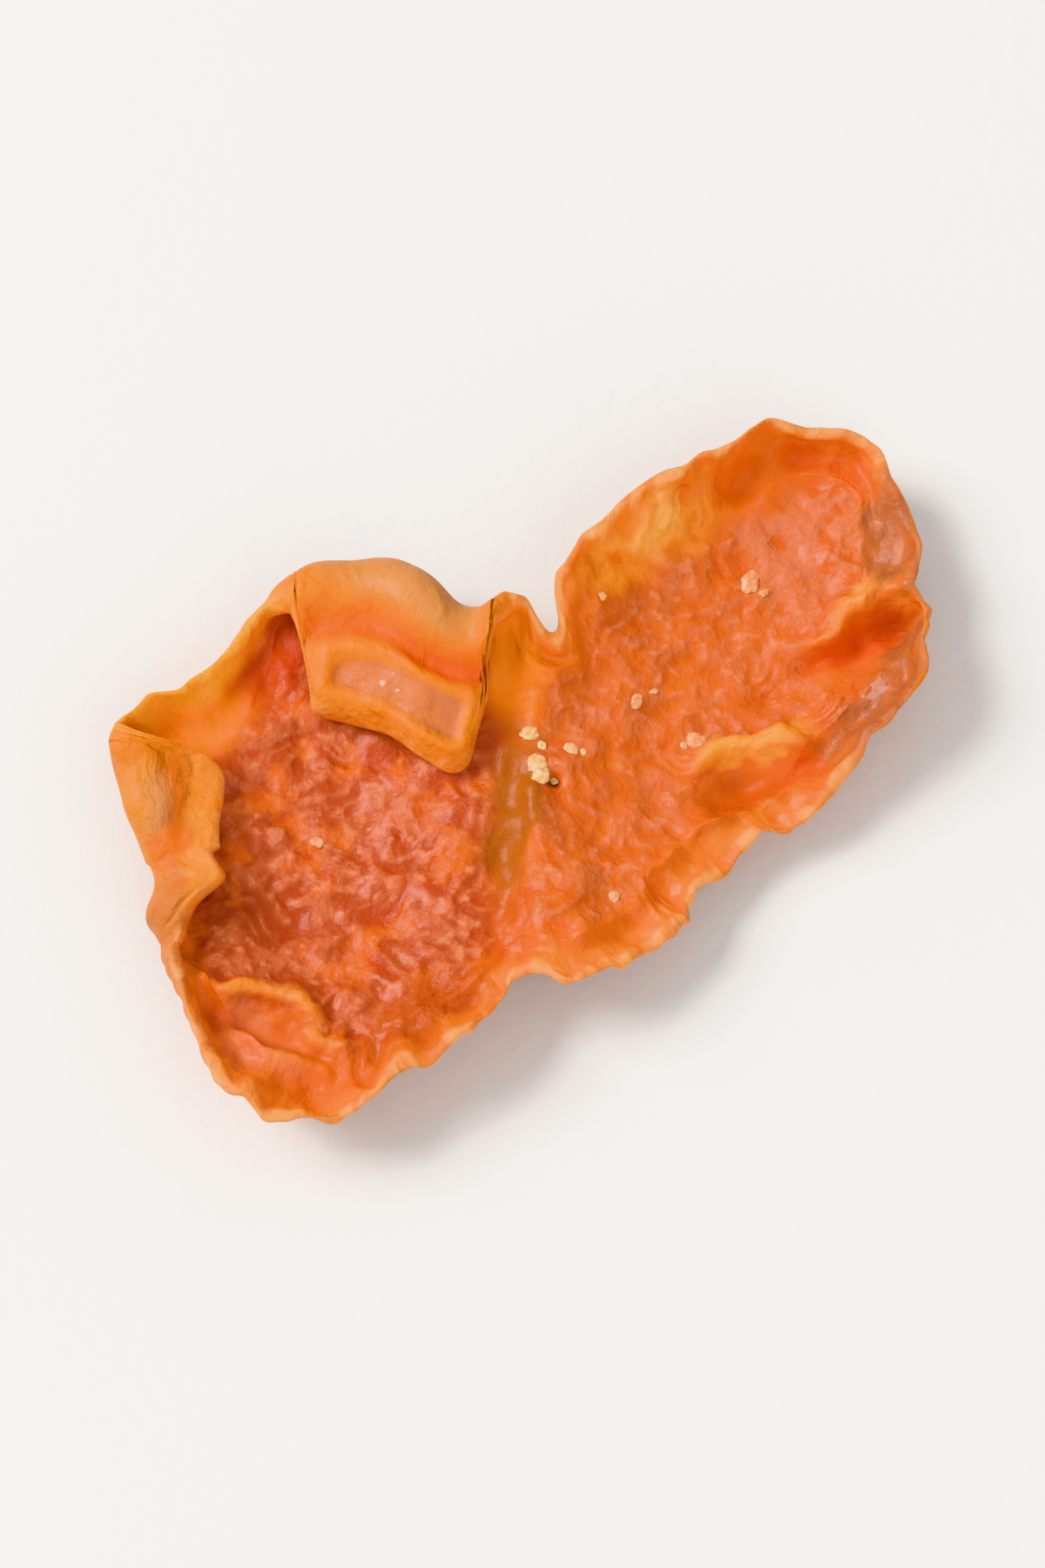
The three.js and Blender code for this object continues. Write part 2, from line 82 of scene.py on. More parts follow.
# The rim, from the left tip clockwise. Each station is x, y, lift, roll, reach: a point on the
# outline, how high the rim rises there, through how many degrees it turns up and in, and how far
# its edge runs on past that turn
RIM = np.array([
    [-28.5, 5.1, 2.0, 70, 0],
    [-26.4, 7.2, 2.4, 62, 0],
    [-23.4, 8.6, 2.8, 66, 0],
    [-20.9, 11.6, 3.2, 96, 0],
    [-17.9, 14.9, 3.6, 122, 0.2],
    [-13.5, 16.6, 4.1, 145, 0],
    [-9.2, 16.6, 4.1, 140, 0],
    [-5.8, 14.5, 3.9, 140, 0],
    [-2.8, 12.9, 2.7, 112, 0],
    [0.3, 14.1, 2.1, 66, 0],
    [2.2, 12.7, 1.8, 66, 0],
    [2.6, 15.4, 2.6, 64, 0],
    [4.2, 18.7, 2.8, 56, 0],
    [7.1, 21.8, 3.0, 54, 0],
    [11.3, 24.3, 3.2, 58, 0],
    [14.7, 26.0, 3.4, 68, 0],
    [18.5, 27.9, 3.3, 86, 0],
    [22.8, 27.8, 3.2, 108, 0],
    [26.6, 26.4, 2.8, 88, 0],
    [28.2, 23.0, 2.6, 70, 0],
    [28.8, 18.6, 2.6, 66, 0],
    [28.9, 15.4, 2.8, 70, 0],
    [29.6, 12.2, 3.0, 78, 0],
    [28.9, 8.0, 2.8, 76, 0],
    [26.4, 4.4, 2.6, 70, 0],
    [23.2, 1.6, 2.2, 66, 0],
    [20.6, -1.4, 1.7, 74, 0],
    [17.4, -3.3, 1.5, 56, 0],
    [14.0, -6.0, 1.4, 46, 0],
    [12.2, -8.0, 1.4, 44, 0],
    [11.5, -10.2, 1.5, 50, 0],
    [8.4, -12.4, 1.4, 48, 0],
    [4.6, -14.4, 1.2, 44, 0],
    [0.2, -14.3, 1.1, 40, 0],
    [-1.7, -17.1, 1.5, 48, 0],
    [-5.0, -20.0, 2.0, 52, 0],
    [-8.1, -21.6, 2.4, 56, 0],
    [-10.9, -24.7, 2.8, 54, 0],
    [-15.4, -25.1, 2.9, 52, 0],
    [-19.0, -23.4, 2.9, 56, 0],
    [-21.8, -19.9, 2.9, 76, 0],
    [-23.8, -15.2, 2.8, 110, 0.5],
    [-24.6, -11.0, 2.8, 128, 0.8],
    [-25.6, -6.8, 3.2, 176, 4.2],
    [-26.9, -2.0, 3.3, 183, 4.0],
    [-27.9, 2.6, 3.0, 178, 3.9],
])

# The line down the middle of both halves, and the stations that lie opposite its ends
MIDDLE_LINE = np.array([[-14.5, -3.5], [-0.5, -2.0], [16.0, 9.5]])
LEFT_END = -2.6
RIGHT_END = 20.6
TANGENT_STEP = 0.8  # stations ahead and behind between which the rim's direction is taken
RIM_CIRCLE = 29  # radius of the circle that patterns round the rim are laid out on

# The flap is a stretch of rim, between two stations, that turned right over and lies on the flesh,
# skin up. Reach and heading, anticlockwise from +X, go from its left side to its right
FLAP = dict(start=4.65, end=8.25, roll=184, reach=(8.3, 9.6), heading=(-91, -94))
FLAP_HALF_WIDTH = 6.2
FLAP_THICKNESS = 2.3
FLAP_CROWN = 0.5  # how far the middle of the flap bulges
FLAP_DROOP = 0.7  # how far its border sinks towards the flesh
FLAP_SWELL = 0.4  # how far the flap heaves up and down
FLAP_CREASE = 1.3  # depth of the crease between the flap and the turn of the rim
CREASE_PLACE = 2.2  # how far past that turn the middle of the crease lies
CREASE_SLANT = 0.6  # how much further it lies at its right end
CREASE_HALF_WIDTH = 1.1
CREASE_UNEVENNESS = 0.8  # of its depth, as a share
CREASE_BEHIND = 0.6  # share of its depth on the flap's hidden side
FLAP_PANEL_DEPTH = 0.7  # how far the middle of the flap has sunk inside its thick border
FLAP_SWAY = 0.9  # how far the flap strays sideways as it goes
FLAP_CORNERS = 0.25  # share of its reach that it loses at its rounded corners
FLAP_FRAY = 0.08  # unevenness of its reach, as a share
FLAP_TURN_SHARE = 0.5  # share of the rings up the wall that go into the turn before the flap
LONGEST_TURN = 0.85  # share of the wall that the turn may take up elsewhere
TURN_SOFTNESS = 0.45  # stations over which the flap's turn begins and ends
HEADING_SOFTNESS = 0.7  # and its heading
BORDER_SOFTNESS = 0.22  # and its reach

# The rim dried in uneven waves and smaller crimps, so many round it. Both change its roll, in
# degrees, its lift and its reach, as shares of them, and its outline
WAVE = dict(around=26, roll=18, lift=0.35, reach=0.6, outline=0.7)
CRIMP = dict(around=64, roll=12, lift=0.25, reach=0.5, outline=0.45)

# Relief over the whole fruit. Each pattern of bumps is height, width, seed. Each pattern of pleats
# is depth, how many go round the rim, seed, and how far up its wall they change
BUCKLES = [(1.5, 8.5, 3), (0.7, 4.2, 4)]
LUMPS = [(0.55, 3.6, 5), (0.4, 2.1, 6)]
SKIN_WRINKLES = dict(height=0.6, width=1.9, length=7, sway=1.6, seed=8)
SKIN_LUMPS = [(0.4, 3, 9)]
PLEATS = [(0.5, 46, 12, 6), (0.3, 84, 13, 3)]
PLEAT_LUMPS = [(0.6, 3.2, 35)]
DENT_DEPTH = 0.7  # of the rim's wall
FOLD_SWAY = 0.9  # how far a fold strays off its path

# The share of each relief that is missing: of pleats on the flap, of dents where the rim has rolled
# over, of lumps under it and of strands where the pulp is smooth
MISSING = dict(pleats=0.5, dents=0.6, lumps=0.7, strands=0.85)

# Relief that only this finer mesh can hold. The strands' turns are how often they rise and fall
# over one swing of their noise
STRANDS = dict(height=0.14, length=5.2, width=2.0, sway=1.8, turns=5)
FINE_WRINKLES = dict(height=0.22, width=0.9, length=4.5, sway=0.8, seed=28)
PUCKERS = [(0.5, 90, 16, 3), (0.25, 150, 17, 2)]  # wide and narrow, each given as the pleats are
PUCKER_SINK = 0.1  # how far the rim sinks between them
PIT = (2.5, 1.3, 0.7)  # x, y, radius
PIT_DEPTH = 0.9

# Stretches of rim that dried crimped, between two stations
CRIMPED = [(9.5, 14.5), (20.5, 23), (25.5, 33), (36, 44)]
CRIMPED_SOFTNESS = 0.5  # stations over which they begin and end
LEAST_CRIMPED = 0.4  # how crimped the rest is, as a share

# Folds and creases of the cut side. Each runs through points of x, y, height and half width
FOLDS = [
    [
        (29.4, 16.9, 0.6, 1), (27, 16.5, 1.3, 1), (24.2, 14.9, 1.5, 1),
        (22, 12.7, 1.1, 1), (19.4, 11.9, 0.3, 1),
    ],
    [
        (28.8, 14.4, -0.9, 1), (27, 13.6, -1.4, 1.1), (23.9, 12, -1.4, 1.1),
        (20.4, 11, -0.9, 1), (18.4, 10.6, -0.2, 1),
    ],
    [
        (11.8, 2.6, 0.3, 0.8), (13.3, 3.5, 1.3, 0.8), (15.4, 4.5, 1.5, 0.8),
        (17.1, 4.8, 1.2, 0.9), (18.9, 5.1, 1.5, 0.9), (20.8, 4.6, 0.6, 0.9),
    ],
    [(13.6, 0.6, -0.5, 1.1), (16.4, 1.6, -1, 1.2), (19.6, 2.4, -1, 1.1), (22, 4, -0.2, 1)],
    [(12.6, -3.4, 0.3, 0.8), (14.6, -2, 1.1, 0.8), (17, -1.4, 0.8, 0.9), (19.6, 0.2, 0.5, 0.9)],
    [(8.9, -5.4, 0.2, 0.8), (11.2, -4.4, 0.9, 0.8), (12.6, -5.2, 0.4, 0.8)],
    [
        (-23.2, -13.9, 0.5, 1), (-20.6, -14.2, 1.3, 0.9), (-17.7, -14, 1.3, 0.9),
        (-15.1, -14.9, 1.2, 1), (-13.2, -16.6, 0.3, 1),
    ],
    [(-21.8, -16, -0.4, 1.3), (-18.8, -16.8, -1, 1.3), (-16, -18, -0.6, 1.1)],
    [
        (-19.6, -17.6, 0.3, 0.8), (-17.6, -19.6, 1.4, 0.8), (-15.4, -19.8, 1.4, 0.8),
        (-13.4, -20.6, 1, 0.9),
    ],
    [(-14.4, -17.6, 0.9, 0.9), (-12.6, -18.8, 0.8, 0.9)],
    [(-8.2, -17.4, 0.2, 0.7), (-8, -19.4, 1.1, 0.8), (-8.6, -21.8, 0.8, 0.8)],
    [(11.2, 24.8, 0.5, 0.9), (10.7, 22.8, 1.1, 0.9), (11.1, 20.8, 0.5, 1)],
    [(7.2, 23.2, 0.4, 0.9), (9.2, 21.4, 0.9, 0.9), (8.4, 19.2, 0.5, 0.9)],
    [(5.2, 19.6, 0.3, 0.8), (7.6, 19, 0.7, 0.8), (10.4, 18.2, 0.4, 0.9)],
    [(12.8, 24, -0.6, 1.1), (15.2, 24.4, -1, 1.2), (17.8, 25.4, -0.4, 1)],
    [(20.5, 26.8, -0.6, 1.1), (24.5, 26, -0.6, 1.1)],
    [(0, 12, -0.6, 1.6), (-0.5, 8, -1.2, 1.7), (-1, 3.5, -0.2, 1.6)],
    [(2.8, 15, 0.6, 1.4), (2.6, 10, 0.8, 1.5), (2.2, 4, 0.1, 1.4)],
    [(0.1, 3, -0.2, 1.1), (-0.6, -4, -0.6, 1.2), (-0.6, -12.5, -0.2, 1.2)],
]

# Where the cut side is smooth, without strands. Each runs through points of x, y, smoothness and
# half width
SMOOTH = [
    [
        (-0.5, 14, 1, 1.9), (-0.8, 8, 1, 1.9), (0.1, 4.5, 0.8, 1.3),
        (-0.6, -4, 0.7, 1.3), (-1.2, -10, 0.4, 1.2),
    ],
    [(-28, 3.5, 1, 2.5), (-22.5, 5, 1, 2.2), (-19, 8, 0.8, 1.8), (-17.5, 11.5, 0.8, 1.6)],
    [(-21.8, -16, 1, 1.8), (-18.8, -16.8, 1, 1.8), (-16, -18.4, 1, 1.5), (-12, -21.5, 0.7, 1.3)],
    [(13.6, 1.0, 0.9, 1.5), (16.4, 1.8, 1, 1.8), (19.6, 2.6, 1, 1.6), (23.5, 4.6, 0.7, 1.2)],
    [(29, 13.2, 1, 1.7), (25.5, 12.2, 1, 1.6), (21.5, 10.2, 0.8, 1.2)],
    [(8.5, 19.5, 0.9, 1.8), (14, 22.8, 1, 2), (19.5, 25.2, 1, 1.8)],
]

# Crumbs of dried pulp left round the seam by the stone. Each is x, y, width, measured from the
# middle of the fruit's box
CRUMBS = [
    (0.5, 3.0, 1.3), (1.3, 2.2, 0.8), (1.0, 0.6, 1.7), (1.2, -0.4, 1.5), (2.2, -0.3, 0.8),
    (3.4, 2.0, 1.1), (4.3, 1.8, 0.6), (8.0, 6.0, 1.2), (9.3, 6.9, 0.6), (12.3, 3.3, 1.6),
    (11.4, 3.0, 0.7), (16.2, 15.4, 1.7), (17.2, 14.6, 0.7), (-14.4, -4.3, 1.0), (5.6, 13.0, 0.8),
    (6.4, -9.2, 1.0),
]
CRUMB_SHAPE = (1.05, 0.8, 0.36)  # length, breadth and height, as shares of its width
CRUMB_LUMPS = 0.3  # how far it is out of round, as a share
CRUMB_TURN = 2.4  # radians from each crumb to the next


def mix(a, b, share):
    return a + (b - a) * share


def smoothstep(x, low, high):
    t = np.clip((x - low) / (high - low), 0, 1)
    return t * t * (3 - 2 * t)


def bezier(a, b, c, t):
    return (1 - t) ** 2 * a + 2 * t * (1 - t) * b + t * t * c


def unit(vectors):
    return vectors / np.linalg.norm(vectors, axis=-1, keepdims=True)


def slope_noise(x, y, seed):
    """Smooth noise, from about -0.7 to 0.7, made of a random slope at each whole x and y."""
    column, row = np.floor(x), np.floor(y)
    dx, dy = x - column, y - row

    def pull(right, up):
        wild = np.sin((column + right) * 127.1 + (row + up) * 311.7 + seed * 74.7) * 43758.5453
        angle = 2 * np.pi * (wild - np.floor(wild))
        return (dx - right) * np.cos(angle) + (dy - up) * np.sin(angle)

    across, upward = (t * t * t * (t * (t * 6 - 15) + 10) for t in (dx, dy))
    return mix(mix(pull(0, 0), pull(1, 0), across), mix(pull(0, 1), pull(1, 1), across), upward)


def rim_at(station):
    """The rim's stations, joined by a smooth closed curve."""
    k = np.floor(station).astype(int)
    t = (station - k)[:, None]
    p0, p1, p2, p3 = (RIM[(k + shift) % len(RIM)] for shift in (-1, 0, 1, 2))
    bow = 2 * p0 - 5 * p1 + 4 * p2 - p3
    twist = 3 * p1 - p0 - 3 * p2 + p3
    return 0.5 * (2 * p1 + (p2 - p0) * t + bow * t**2 + twist * t**3)


def ruffle(station, waves, seed, inward=0.0):
    """Uneven waves along the rim, which close up after their given number and change inwards."""
    turn = 2 * math.pi * station / len(RIM)
    ring = waves / (2 * math.pi) + inward
    return slope_noise(ring * np.cos(turn), ring * np.sin(turn), seed)


def bumps(patterns, x, y):
    return sum(height * slope_noise(x / width, y / width, seed) for height, width, seed in patterns)


def crinkles(patterns, station, way):
    """Waves round the rim that change with the way up its wall or in from its edge."""
    return [
        depth * ruffle(station, around, seed, way / change)
        for depth, around, seed, change in patterns
    ]


def from_cup_middle(cup, x, y):
    dx, dy = x - cup["x"], y - cup["y"]
    across = dx * math.cos(cup["lean"]) - dy * math.sin(cup["lean"])
    along = dx * math.sin(cup["lean"]) + dy * math.cos(cup["lean"])
    return (across / cup["half_width"]) ** 2 + (along / cup["half_length"]) ** 2


def cup_height(x, y):
    """Height of the skin side before it is pressed flat: two shallow, buckled cups that meet at the
    seam."""
    left, right = from_cup_middle(LEFT_CUP, x, y), from_cup_middle(RIGHT_CUP, x, y)
    overlap = np.maximum(CUP_BLEND - np.abs(left - right), 0)
    nearer = np.minimum(left, right) - overlap**2 / (4 * CUP_BLEND)
    return CUP_DEPTH * nearer - FLAT_DEPTH + bumps(BUCKLES, x, y) * smoothstep(nearer, 0.25, 0.95)


def fold_relief(fold, x, y):
    """A ridge or crease along a path, whose height and width change from point to point."""
    nearest, height, width = np.full(x.shape, np.inf), np.zeros(x.shape), np.ones(x.shape)
    for (ax, ay, a_height, a_width), (bx, by, b_height, b_width) in zip(fold, fold[1:]):
        span = (bx - ax) ** 2 + (by - ay) ** 2
        t = np.clip(((x - ax) * (bx - ax) + (y - ay) * (by - ay)) / span, 0, 1)
        distance = np.hypot(x - mix(ax, bx, t), y - mix(ay, by, t))
        closer = distance < nearest
        nearest = np.where(closer, distance, nearest)
        height = np.where(closer, mix(a_height, b_height, t), height)
        width = np.where(closer, mix(a_width, b_width, t), width)
    return height * np.exp(-((nearest / width) ** 2))


def folds_relief(x, y):
    """All folds, each swaying a little off its path."""
    sway_x = x + FOLD_SWAY * slope_noise(x / 2.8, y / 2.8, 31)
    sway_y = y + FOLD_SWAY * slope_noise(x / 2.8, y / 2.8, 32)
    return sum(fold_relief(fold, sway_x, sway_y) for fold in FOLDS)


def wrinkles_relief(wrinkles, shift, x, y):
    """Wrinkles of the skin side, which run the length of each half."""
    across, along = (x + shift) / wrinkles["width"], (y + shift) / wrinkles["length"]
    return wrinkles["height"] * slope_noise(across, along, wrinkles["seed"])


def skin_relief(x, y):
    shift = SKIN_WRINKLES["sway"] * slope_noise(x / 9, y / 9, 7)
    return wrinkles_relief(SKIN_WRINKLES, shift, x, y) + bumps(SKIN_LUMPS, x, y)


def fine_skin_relief(x, y):
    shift = FINE_WRINKLES["sway"] * slope_noise(x / 4, y / 4, 27)
    return wrinkles_relief(FINE_WRINKLES, shift, x, y)


def smoothness(x, y):
    return np.clip(sum(fold_relief(path, x, y) for path in SMOOTH), 0, 1)


def strands_relief(x, y):
    """Short torn strands of pulp that run every way, from about -1 to 1."""
    length, width, turns = STRANDS["length"], STRANDS["width"], STRANDS["turns"]
    sway_x = x + STRANDS["sway"] * slope_noise(x / 3.0, y / 3.0, 21)
    sway_y = y + STRANDS["sway"] * slope_noise(x / 3.0, y / 3.0, 22)
    rising = np.cos(turns * slope_noise((sway_x + sway_y) / length, (sway_y - sway_x) / width, 23))
    falling = np.cos(turns * slope_noise((sway_x - sway_y) / length, (sway_y + sway_x) / width, 25))
    strands = mix(rising, falling, smoothstep(slope_noise(x / 3.4, y / 3.4, 26), -0.15, 0.15))
    return 0.75 * strands + 0.7 * slope_noise(sway_x / 0.9, sway_y / 0.9, 24)


def pit_relief(x, y):
    pit_x, pit_y, radius = PIT
    return -PIT_DEPTH * np.exp(-((x - pit_x) ** 2 + (y - pit_y) ** 2) / radius**2)


def flesh_thickness(x):
    return mix(FLESH_THICKNESS, SEAM_THICKNESS, np.exp(-((x / SEAM_HALF_WIDTH) ** 2)))


def within(start, end, station, softness):
    """How far a station lies inside a stretch of rim, 0 to 1."""
    begun = smoothstep(station, start - softness, start + softness)
    return begun - smoothstep(station, end - softness, end + softness)


def fruit_rings():
    """For each ring of points in turn: its side, its share of the way over the floor, its share of
    the way up the wall, and its share of the turn round the edge."""
    wall = [(1, k / ROLL_RINGS, 0) for k in range(ROLL_RINGS)]
    wall = wall + [(1, 1, k / EDGE_RINGS) for k in range(EDGE_RINGS)]
    pulp = [(k / PULP_RINGS, 0, 0) for k in range(PULP_RINGS)] + wall
    skin = [(k / SKIN_RINGS, 0, 0) for k in range(SKIN_RINGS)] + wall
    return [(1, *ring) for ring in pulp] + [(1, 1, 1, 1)] + [(-1, *ring) for ring in skin[::-1]]


def fruit_columns():
    """What each column of the mesh needs: where it meets the rim and how the rim curls there."""
    column = np.arange(AROUND)
    half = column * 2 // AROUND
    corner = np.array([LEFT_END, RIGHT_END, len(RIM) + LEFT_END])
    station = mix(corner[half], corner[half + 1], column / (AROUND / 2) - half)
    rim = rim_at(station)
    outline, lift, roll, reach = rim[:, :2], rim[:, 2], rim[:, 3], rim[:, 4]
    ahead, behind = rim_at(station + TANGENT_STEP), rim_at(station - TANGENT_STEP)
    along_middle = np.where(column <= AROUND / 2, 2 * column / AROUND, 2 - 2 * column / AROUND)
    middle = bezier(*MIDDLE_LINE[:, None, :], along_middle[:, None])
    inward = unit(np.stack([ahead[:, 1] - behind[:, 1], behind[:, 0] - ahead[:, 0]], 1))
    inward = unit(inward + unit(middle - outline))

    wave = ruffle(station, WAVE["around"], 1)
    in_stretches = sum(within(*stretch, station, CRIMPED_SOFTNESS) for stretch in CRIMPED)
    crimped = mix(LEAST_CRIMPED, 1, np.clip(in_stretches, 0, 1))
    crimp = crimped * ruffle(station, CRIMP["around"], 2)

    start, end = FLAP["start"], FLAP["end"]
    flap = within(start - TURN_SOFTNESS, end + TURN_SOFTNESS, station, TURN_SOFTNESS)
    headed = within(start - HEADING_SOFTNESS, end + HEADING_SOFTNESS, station, HEADING_SOFTNESS)
    # -1 at the left side of the flap and 1 at its right
    flap_side = 2 * (station - start) / (end - start) - 1
    heading = np.radians(mix(*FLAP["heading"], (flap_side + 1) / 2))
    inward = unit(mix(inward, np.column_stack([np.cos(heading), np.sin(heading)]), headed[:, None]))
    frayed = 1 - FLAP_CORNERS * np.clip(flap_side, -1, 1) ** 4 + FLAP_FRAY * ruffle(station, 40, 18)
    flap_reach = mix(*FLAP["reach"], (flap_side + 1) / 2) * frayed
    flap_reach = flap_reach * within(start, end, station, BORDER_SOFTNESS)

    angle = np.radians(mix(roll + WAVE["roll"] * wave + CRIMP["roll"] * crimp, FLAP["roll"], flap))
    reach = np.maximum(reach * (1 + WAVE["reach"] * wave + CRIMP["reach"] * crimp), 0) + flap_reach
    lift = np.maximum(lift * (1 + WAVE["lift"] * wave + CRIMP["lift"] * crimp), LEAST_LIFT)
    radius = np.maximum(lift / (1 - np.cos(np.minimum(angle, math.pi))), SMALLEST_ROLL_RADIUS)
    overhang = (radius + WALL_THICKNESS / 2) * np.sin(np.minimum(angle, math.pi / 2))
    outward = WAVE["outline"] * wave + CRIMP["outline"] * crimp
    foot = outline + inward * (overhang - outward)[:, None]
    floor_length = np.linalg.norm(foot - middle, axis=1)
    rolled = smoothstep(np.degrees(angle), *ROLLED_OVER)
    thin_edge_radius = EDGE_THICKNESS * (0.5 + EDGE_UNEVENNESS * ruffle(station, 34, 11))
    edge_radius = mix(thin_edge_radius, ROLLED_EDGE_RADIUS, rolled)
    return SimpleNamespace(
        station=station, middle=middle, inward=inward, foot=foot, floor_length=floor_length,
        bend=foot + inward * (FLOOR_BOW * floor_length)[:, None],
        crimped=crimped, rolled=rolled, flap=flap, flap_side=flap_side, flap_reach=flap_reach,
        angle=angle, radius=radius, length=radius * angle + reach,
        edge_radius=mix(edge_radius, FLAP_THICKNESS / 2, flap),
        wall_thickness=mix(mix(WALL_THICKNESS, ROLLED_THICKNESS, rolled), FLAP_THICKNESS, flap),
    )


def way_up_wall(rim, wall_share, edge_turn):
    """How far along the rim's wall a ring lies from the wall's foot, and the wall's fullness there,
    which falls from 1 to 0 round the thin edge."""
    whole = rim.length - rim.edge_radius
    turn = np.minimum(rim.radius * rim.angle, LONGEST_TURN * whole)
    split = mix(turn / whole, FLAP_TURN_SHARE, rim.flap)
    past_turn = mix(turn, whole, (wall_share - split) / (1 - split))
    along = np.where(wall_share < split, turn * wall_share / split, past_turn)
    round_edge = edge_turn * math.pi / 2
    return along + rim.edge_radius * math.sin(round_edge), math.cos(round_edge)


def flap_height(rim, side, along, beyond, x, y):
    """What the flap adds to the height, the depth of its crease, and 1 where its sunk middle is."""
    crown = FLAP_CROWN * np.sin(math.pi * np.minimum(beyond / np.maximum(rim.flap_reach, 1), 1))
    crown = crown * np.clip(1 - rim.flap_side**2, 0, 1)
    past_crease = along - rim.radius * rim.angle - CREASE_PLACE - CREASE_SLANT * rim.flap_side
    past_crease = past_crease - ruffle(rim.station, 24, 19)
    crease = FLAP_CREASE * (1 + CREASE_UNEVENNESS * ruffle(rim.station, 30, 15))
    crease = crease * np.exp(-((past_crease / CREASE_HALF_WIDTH) ** 2))
    crease = rim.flap * crease * (1 if side < 0 else CREASE_BEHIND)
    from_border = np.minimum(FLAP_HALF_WIDTH * (1 - np.abs(rim.flap_side)), rim.length - along)
    droop = FLAP_DROOP * (1 - smoothstep(from_border, 0, 1.5)) * smoothstep(beyond, 0.5, 3)
    swell = FLAP_SWELL * smoothstep(beyond, 1, 4) * slope_noise(x / 4.5, y / 4.5, 34)
    middle = smoothstep(from_border, 1, 2.2) * smoothstep(beyond, 3.8, 5) * (side < 0)
    return rim.flap * (crown - droop + swell - FLAP_PANEL_DEPTH * middle) - crease, crease, middle


def ring_points(rim, side, floor_share, wall_share, edge_turn):
    """One ring of points, and the marks that its finish follows. Side is 1 on the cut side and -1
    on the skin side."""
    station, inward, flap = rim.station, rim.inward, rim.flap
    along, fullness = way_up_wall(rim, wall_share, edge_turn)
    turned = np.minimum(along / rim.radius, rim.angle)
    beyond = np.maximum(along - rim.radius * rim.angle, 0)
    out = rim.radius * np.sin(turned) + beyond * np.cos(turned)
    up = rim.radius * (1 - np.cos(turned)) + beyond * np.sin(turned)
    plan = bezier(rim.middle, rim.bend, rim.foot, floor_share) - inward * out[:, None]
    sideways = flap * smoothstep(beyond, 0, 2) * FLAP_SWAY
    sideways = sideways * slope_noise(beyond / 3.1, station / 2.5, 33)
    plan = plan + sideways[:, None] * np.column_stack([-inward[:, 1], inward[:, 0]])
    x, y = plan.T

    cup, flesh = cup_height(x, y), flesh_thickness(x)
    at_foot = np.clip(2 * (rim.radius - FOOT_CLEARANCE), WALL_THICKNESS, flesh)
    floor_thickness = mix(flesh, at_foot, smoothstep(floor_share, 0.45, 1))
    wall = mix(floor_thickness, rim.wall_thickness, smoothstep(along / rim.length, 0, 0.5))
    thickness = mix(wall, 2 * rim.edge_radius, smoothstep(along / rim.length, 0.3, 1)) * fullness
    pleat = sum(crinkles(PLEATS, station, along)) + bumps(PLEAT_LUMPS, x, y)
    pleat = pleat * rim.crimped * smoothstep(floor_share, 0.6, 1) * (1 - MISSING["pleats"] * flap)
    undented = MISSING["dents"] * np.maximum(flap, rim.rolled)
    dent = DENT_DEPTH * smoothstep(along, 0.5, 3) * (1 - undented)
    dent = dent * ruffle(station, 50, 14, along / 3)
    from_edge = rim.length - along + rim.floor_length * (1 - floor_share)

    under_flap = flap * smoothstep(floor_share, 0.2, 0.5)
    covered = np.maximum(under_flap, rim.rolled * smoothstep(floor_share, 0.6, 0.8))
    relief = bumps(LUMPS, x, y) * (1 - MISSING["lumps"] * covered) + folds_relief(x, y)
    if side > 0:
        smooth = smoothness(x, y)
        strand = strands_relief(x, y) * (1 - MISSING["strands"] * smooth)
        strand = strand * smoothstep(from_edge, 2, 5)
        relief = relief + STRANDS["height"] * strand + pit_relief(x, y)
    else:
        # Where the flesh thins out towards the rim, the skin side follows the folds of the cut side
        smooth, strand = 0 * x, 0 * x
        relief = relief * smoothstep(floor_share, 0.55, 0.9)
        relief = relief + (skin_relief(x, y) + fine_skin_relief(x, y)) * smoothstep(cup, 0, 1)
    wide, narrow = crinkles(PUCKERS, station, from_edge)
    pucker = (np.abs(wide) + narrow - PUCKER_SINK) * rim.crimped
    pucker = pucker * smoothstep(from_edge, 6, 2) * (1 - smoothstep(flap, 0.1, 0.5))

    # 1 where the flesh lies flat, and 0 once the rim stands upright
    flatness = np.clip(1.6 * np.cos(turned), 0, 1)
    offset = side * thickness / 2 + fullness * (flatness * relief + pucker) + pleat + dent
    on_flap, crease, flap_middle = flap_height(rim, side, along, beyond, x, y)
    height = cup + flesh / 2 + up + on_flap + np.cos(turned) * offset
    points = np.column_stack([
        x + inward[:, 0] * np.sin(turned) * offset,
        y + inward[:, 1] * np.sin(turned) * offset,
        np.maximum(height, 0),
    ])
    marks = {
        "from_edge": from_edge,
        "skin": 0.5 - 0.5 * side * fullness + 0 * along,
        "smooth": smooth,
        "strand": strand,
        "flap_middle": flap_middle,
        "relief": flatness * fullness * relief + pucker + dent - crease,
        "flap": smoothstep(flap, 0.1, 0.5) + 0 * along,
        "crease": crease / FLAP_CREASE,
    }
    return points, marks


def fruit_points():
    """The fruit's surface as a grid of points, ring by column, from the middle line over the cut
    side, round the rim's edge and back under the skin side to the middle line. The marks and the
    places round the rim are what its finish follows."""
    rim = fruit_columns()
    rings = [ring_points(rim, *ring) for ring in fruit_rings()]
    points = np.array([ring for ring, _ in rings])
    marks = {name: np.array([ring_marks[name] for _, ring_marks in rings]) for name in rings[0][1]}
    # Places on a tube round the rim, so that a pattern can run round it without a break
    around = 2 * math.pi * rim.station / len(RIM)
    circle = np.column_stack([np.cos(around), np.sin(around), 0 * around]) * RIM_CIRCLE
    rim_place = np.array([circle + [0, 0, 1] * row[:, None] for row in marks["from_edge"]])
    return points, marks, rim_place


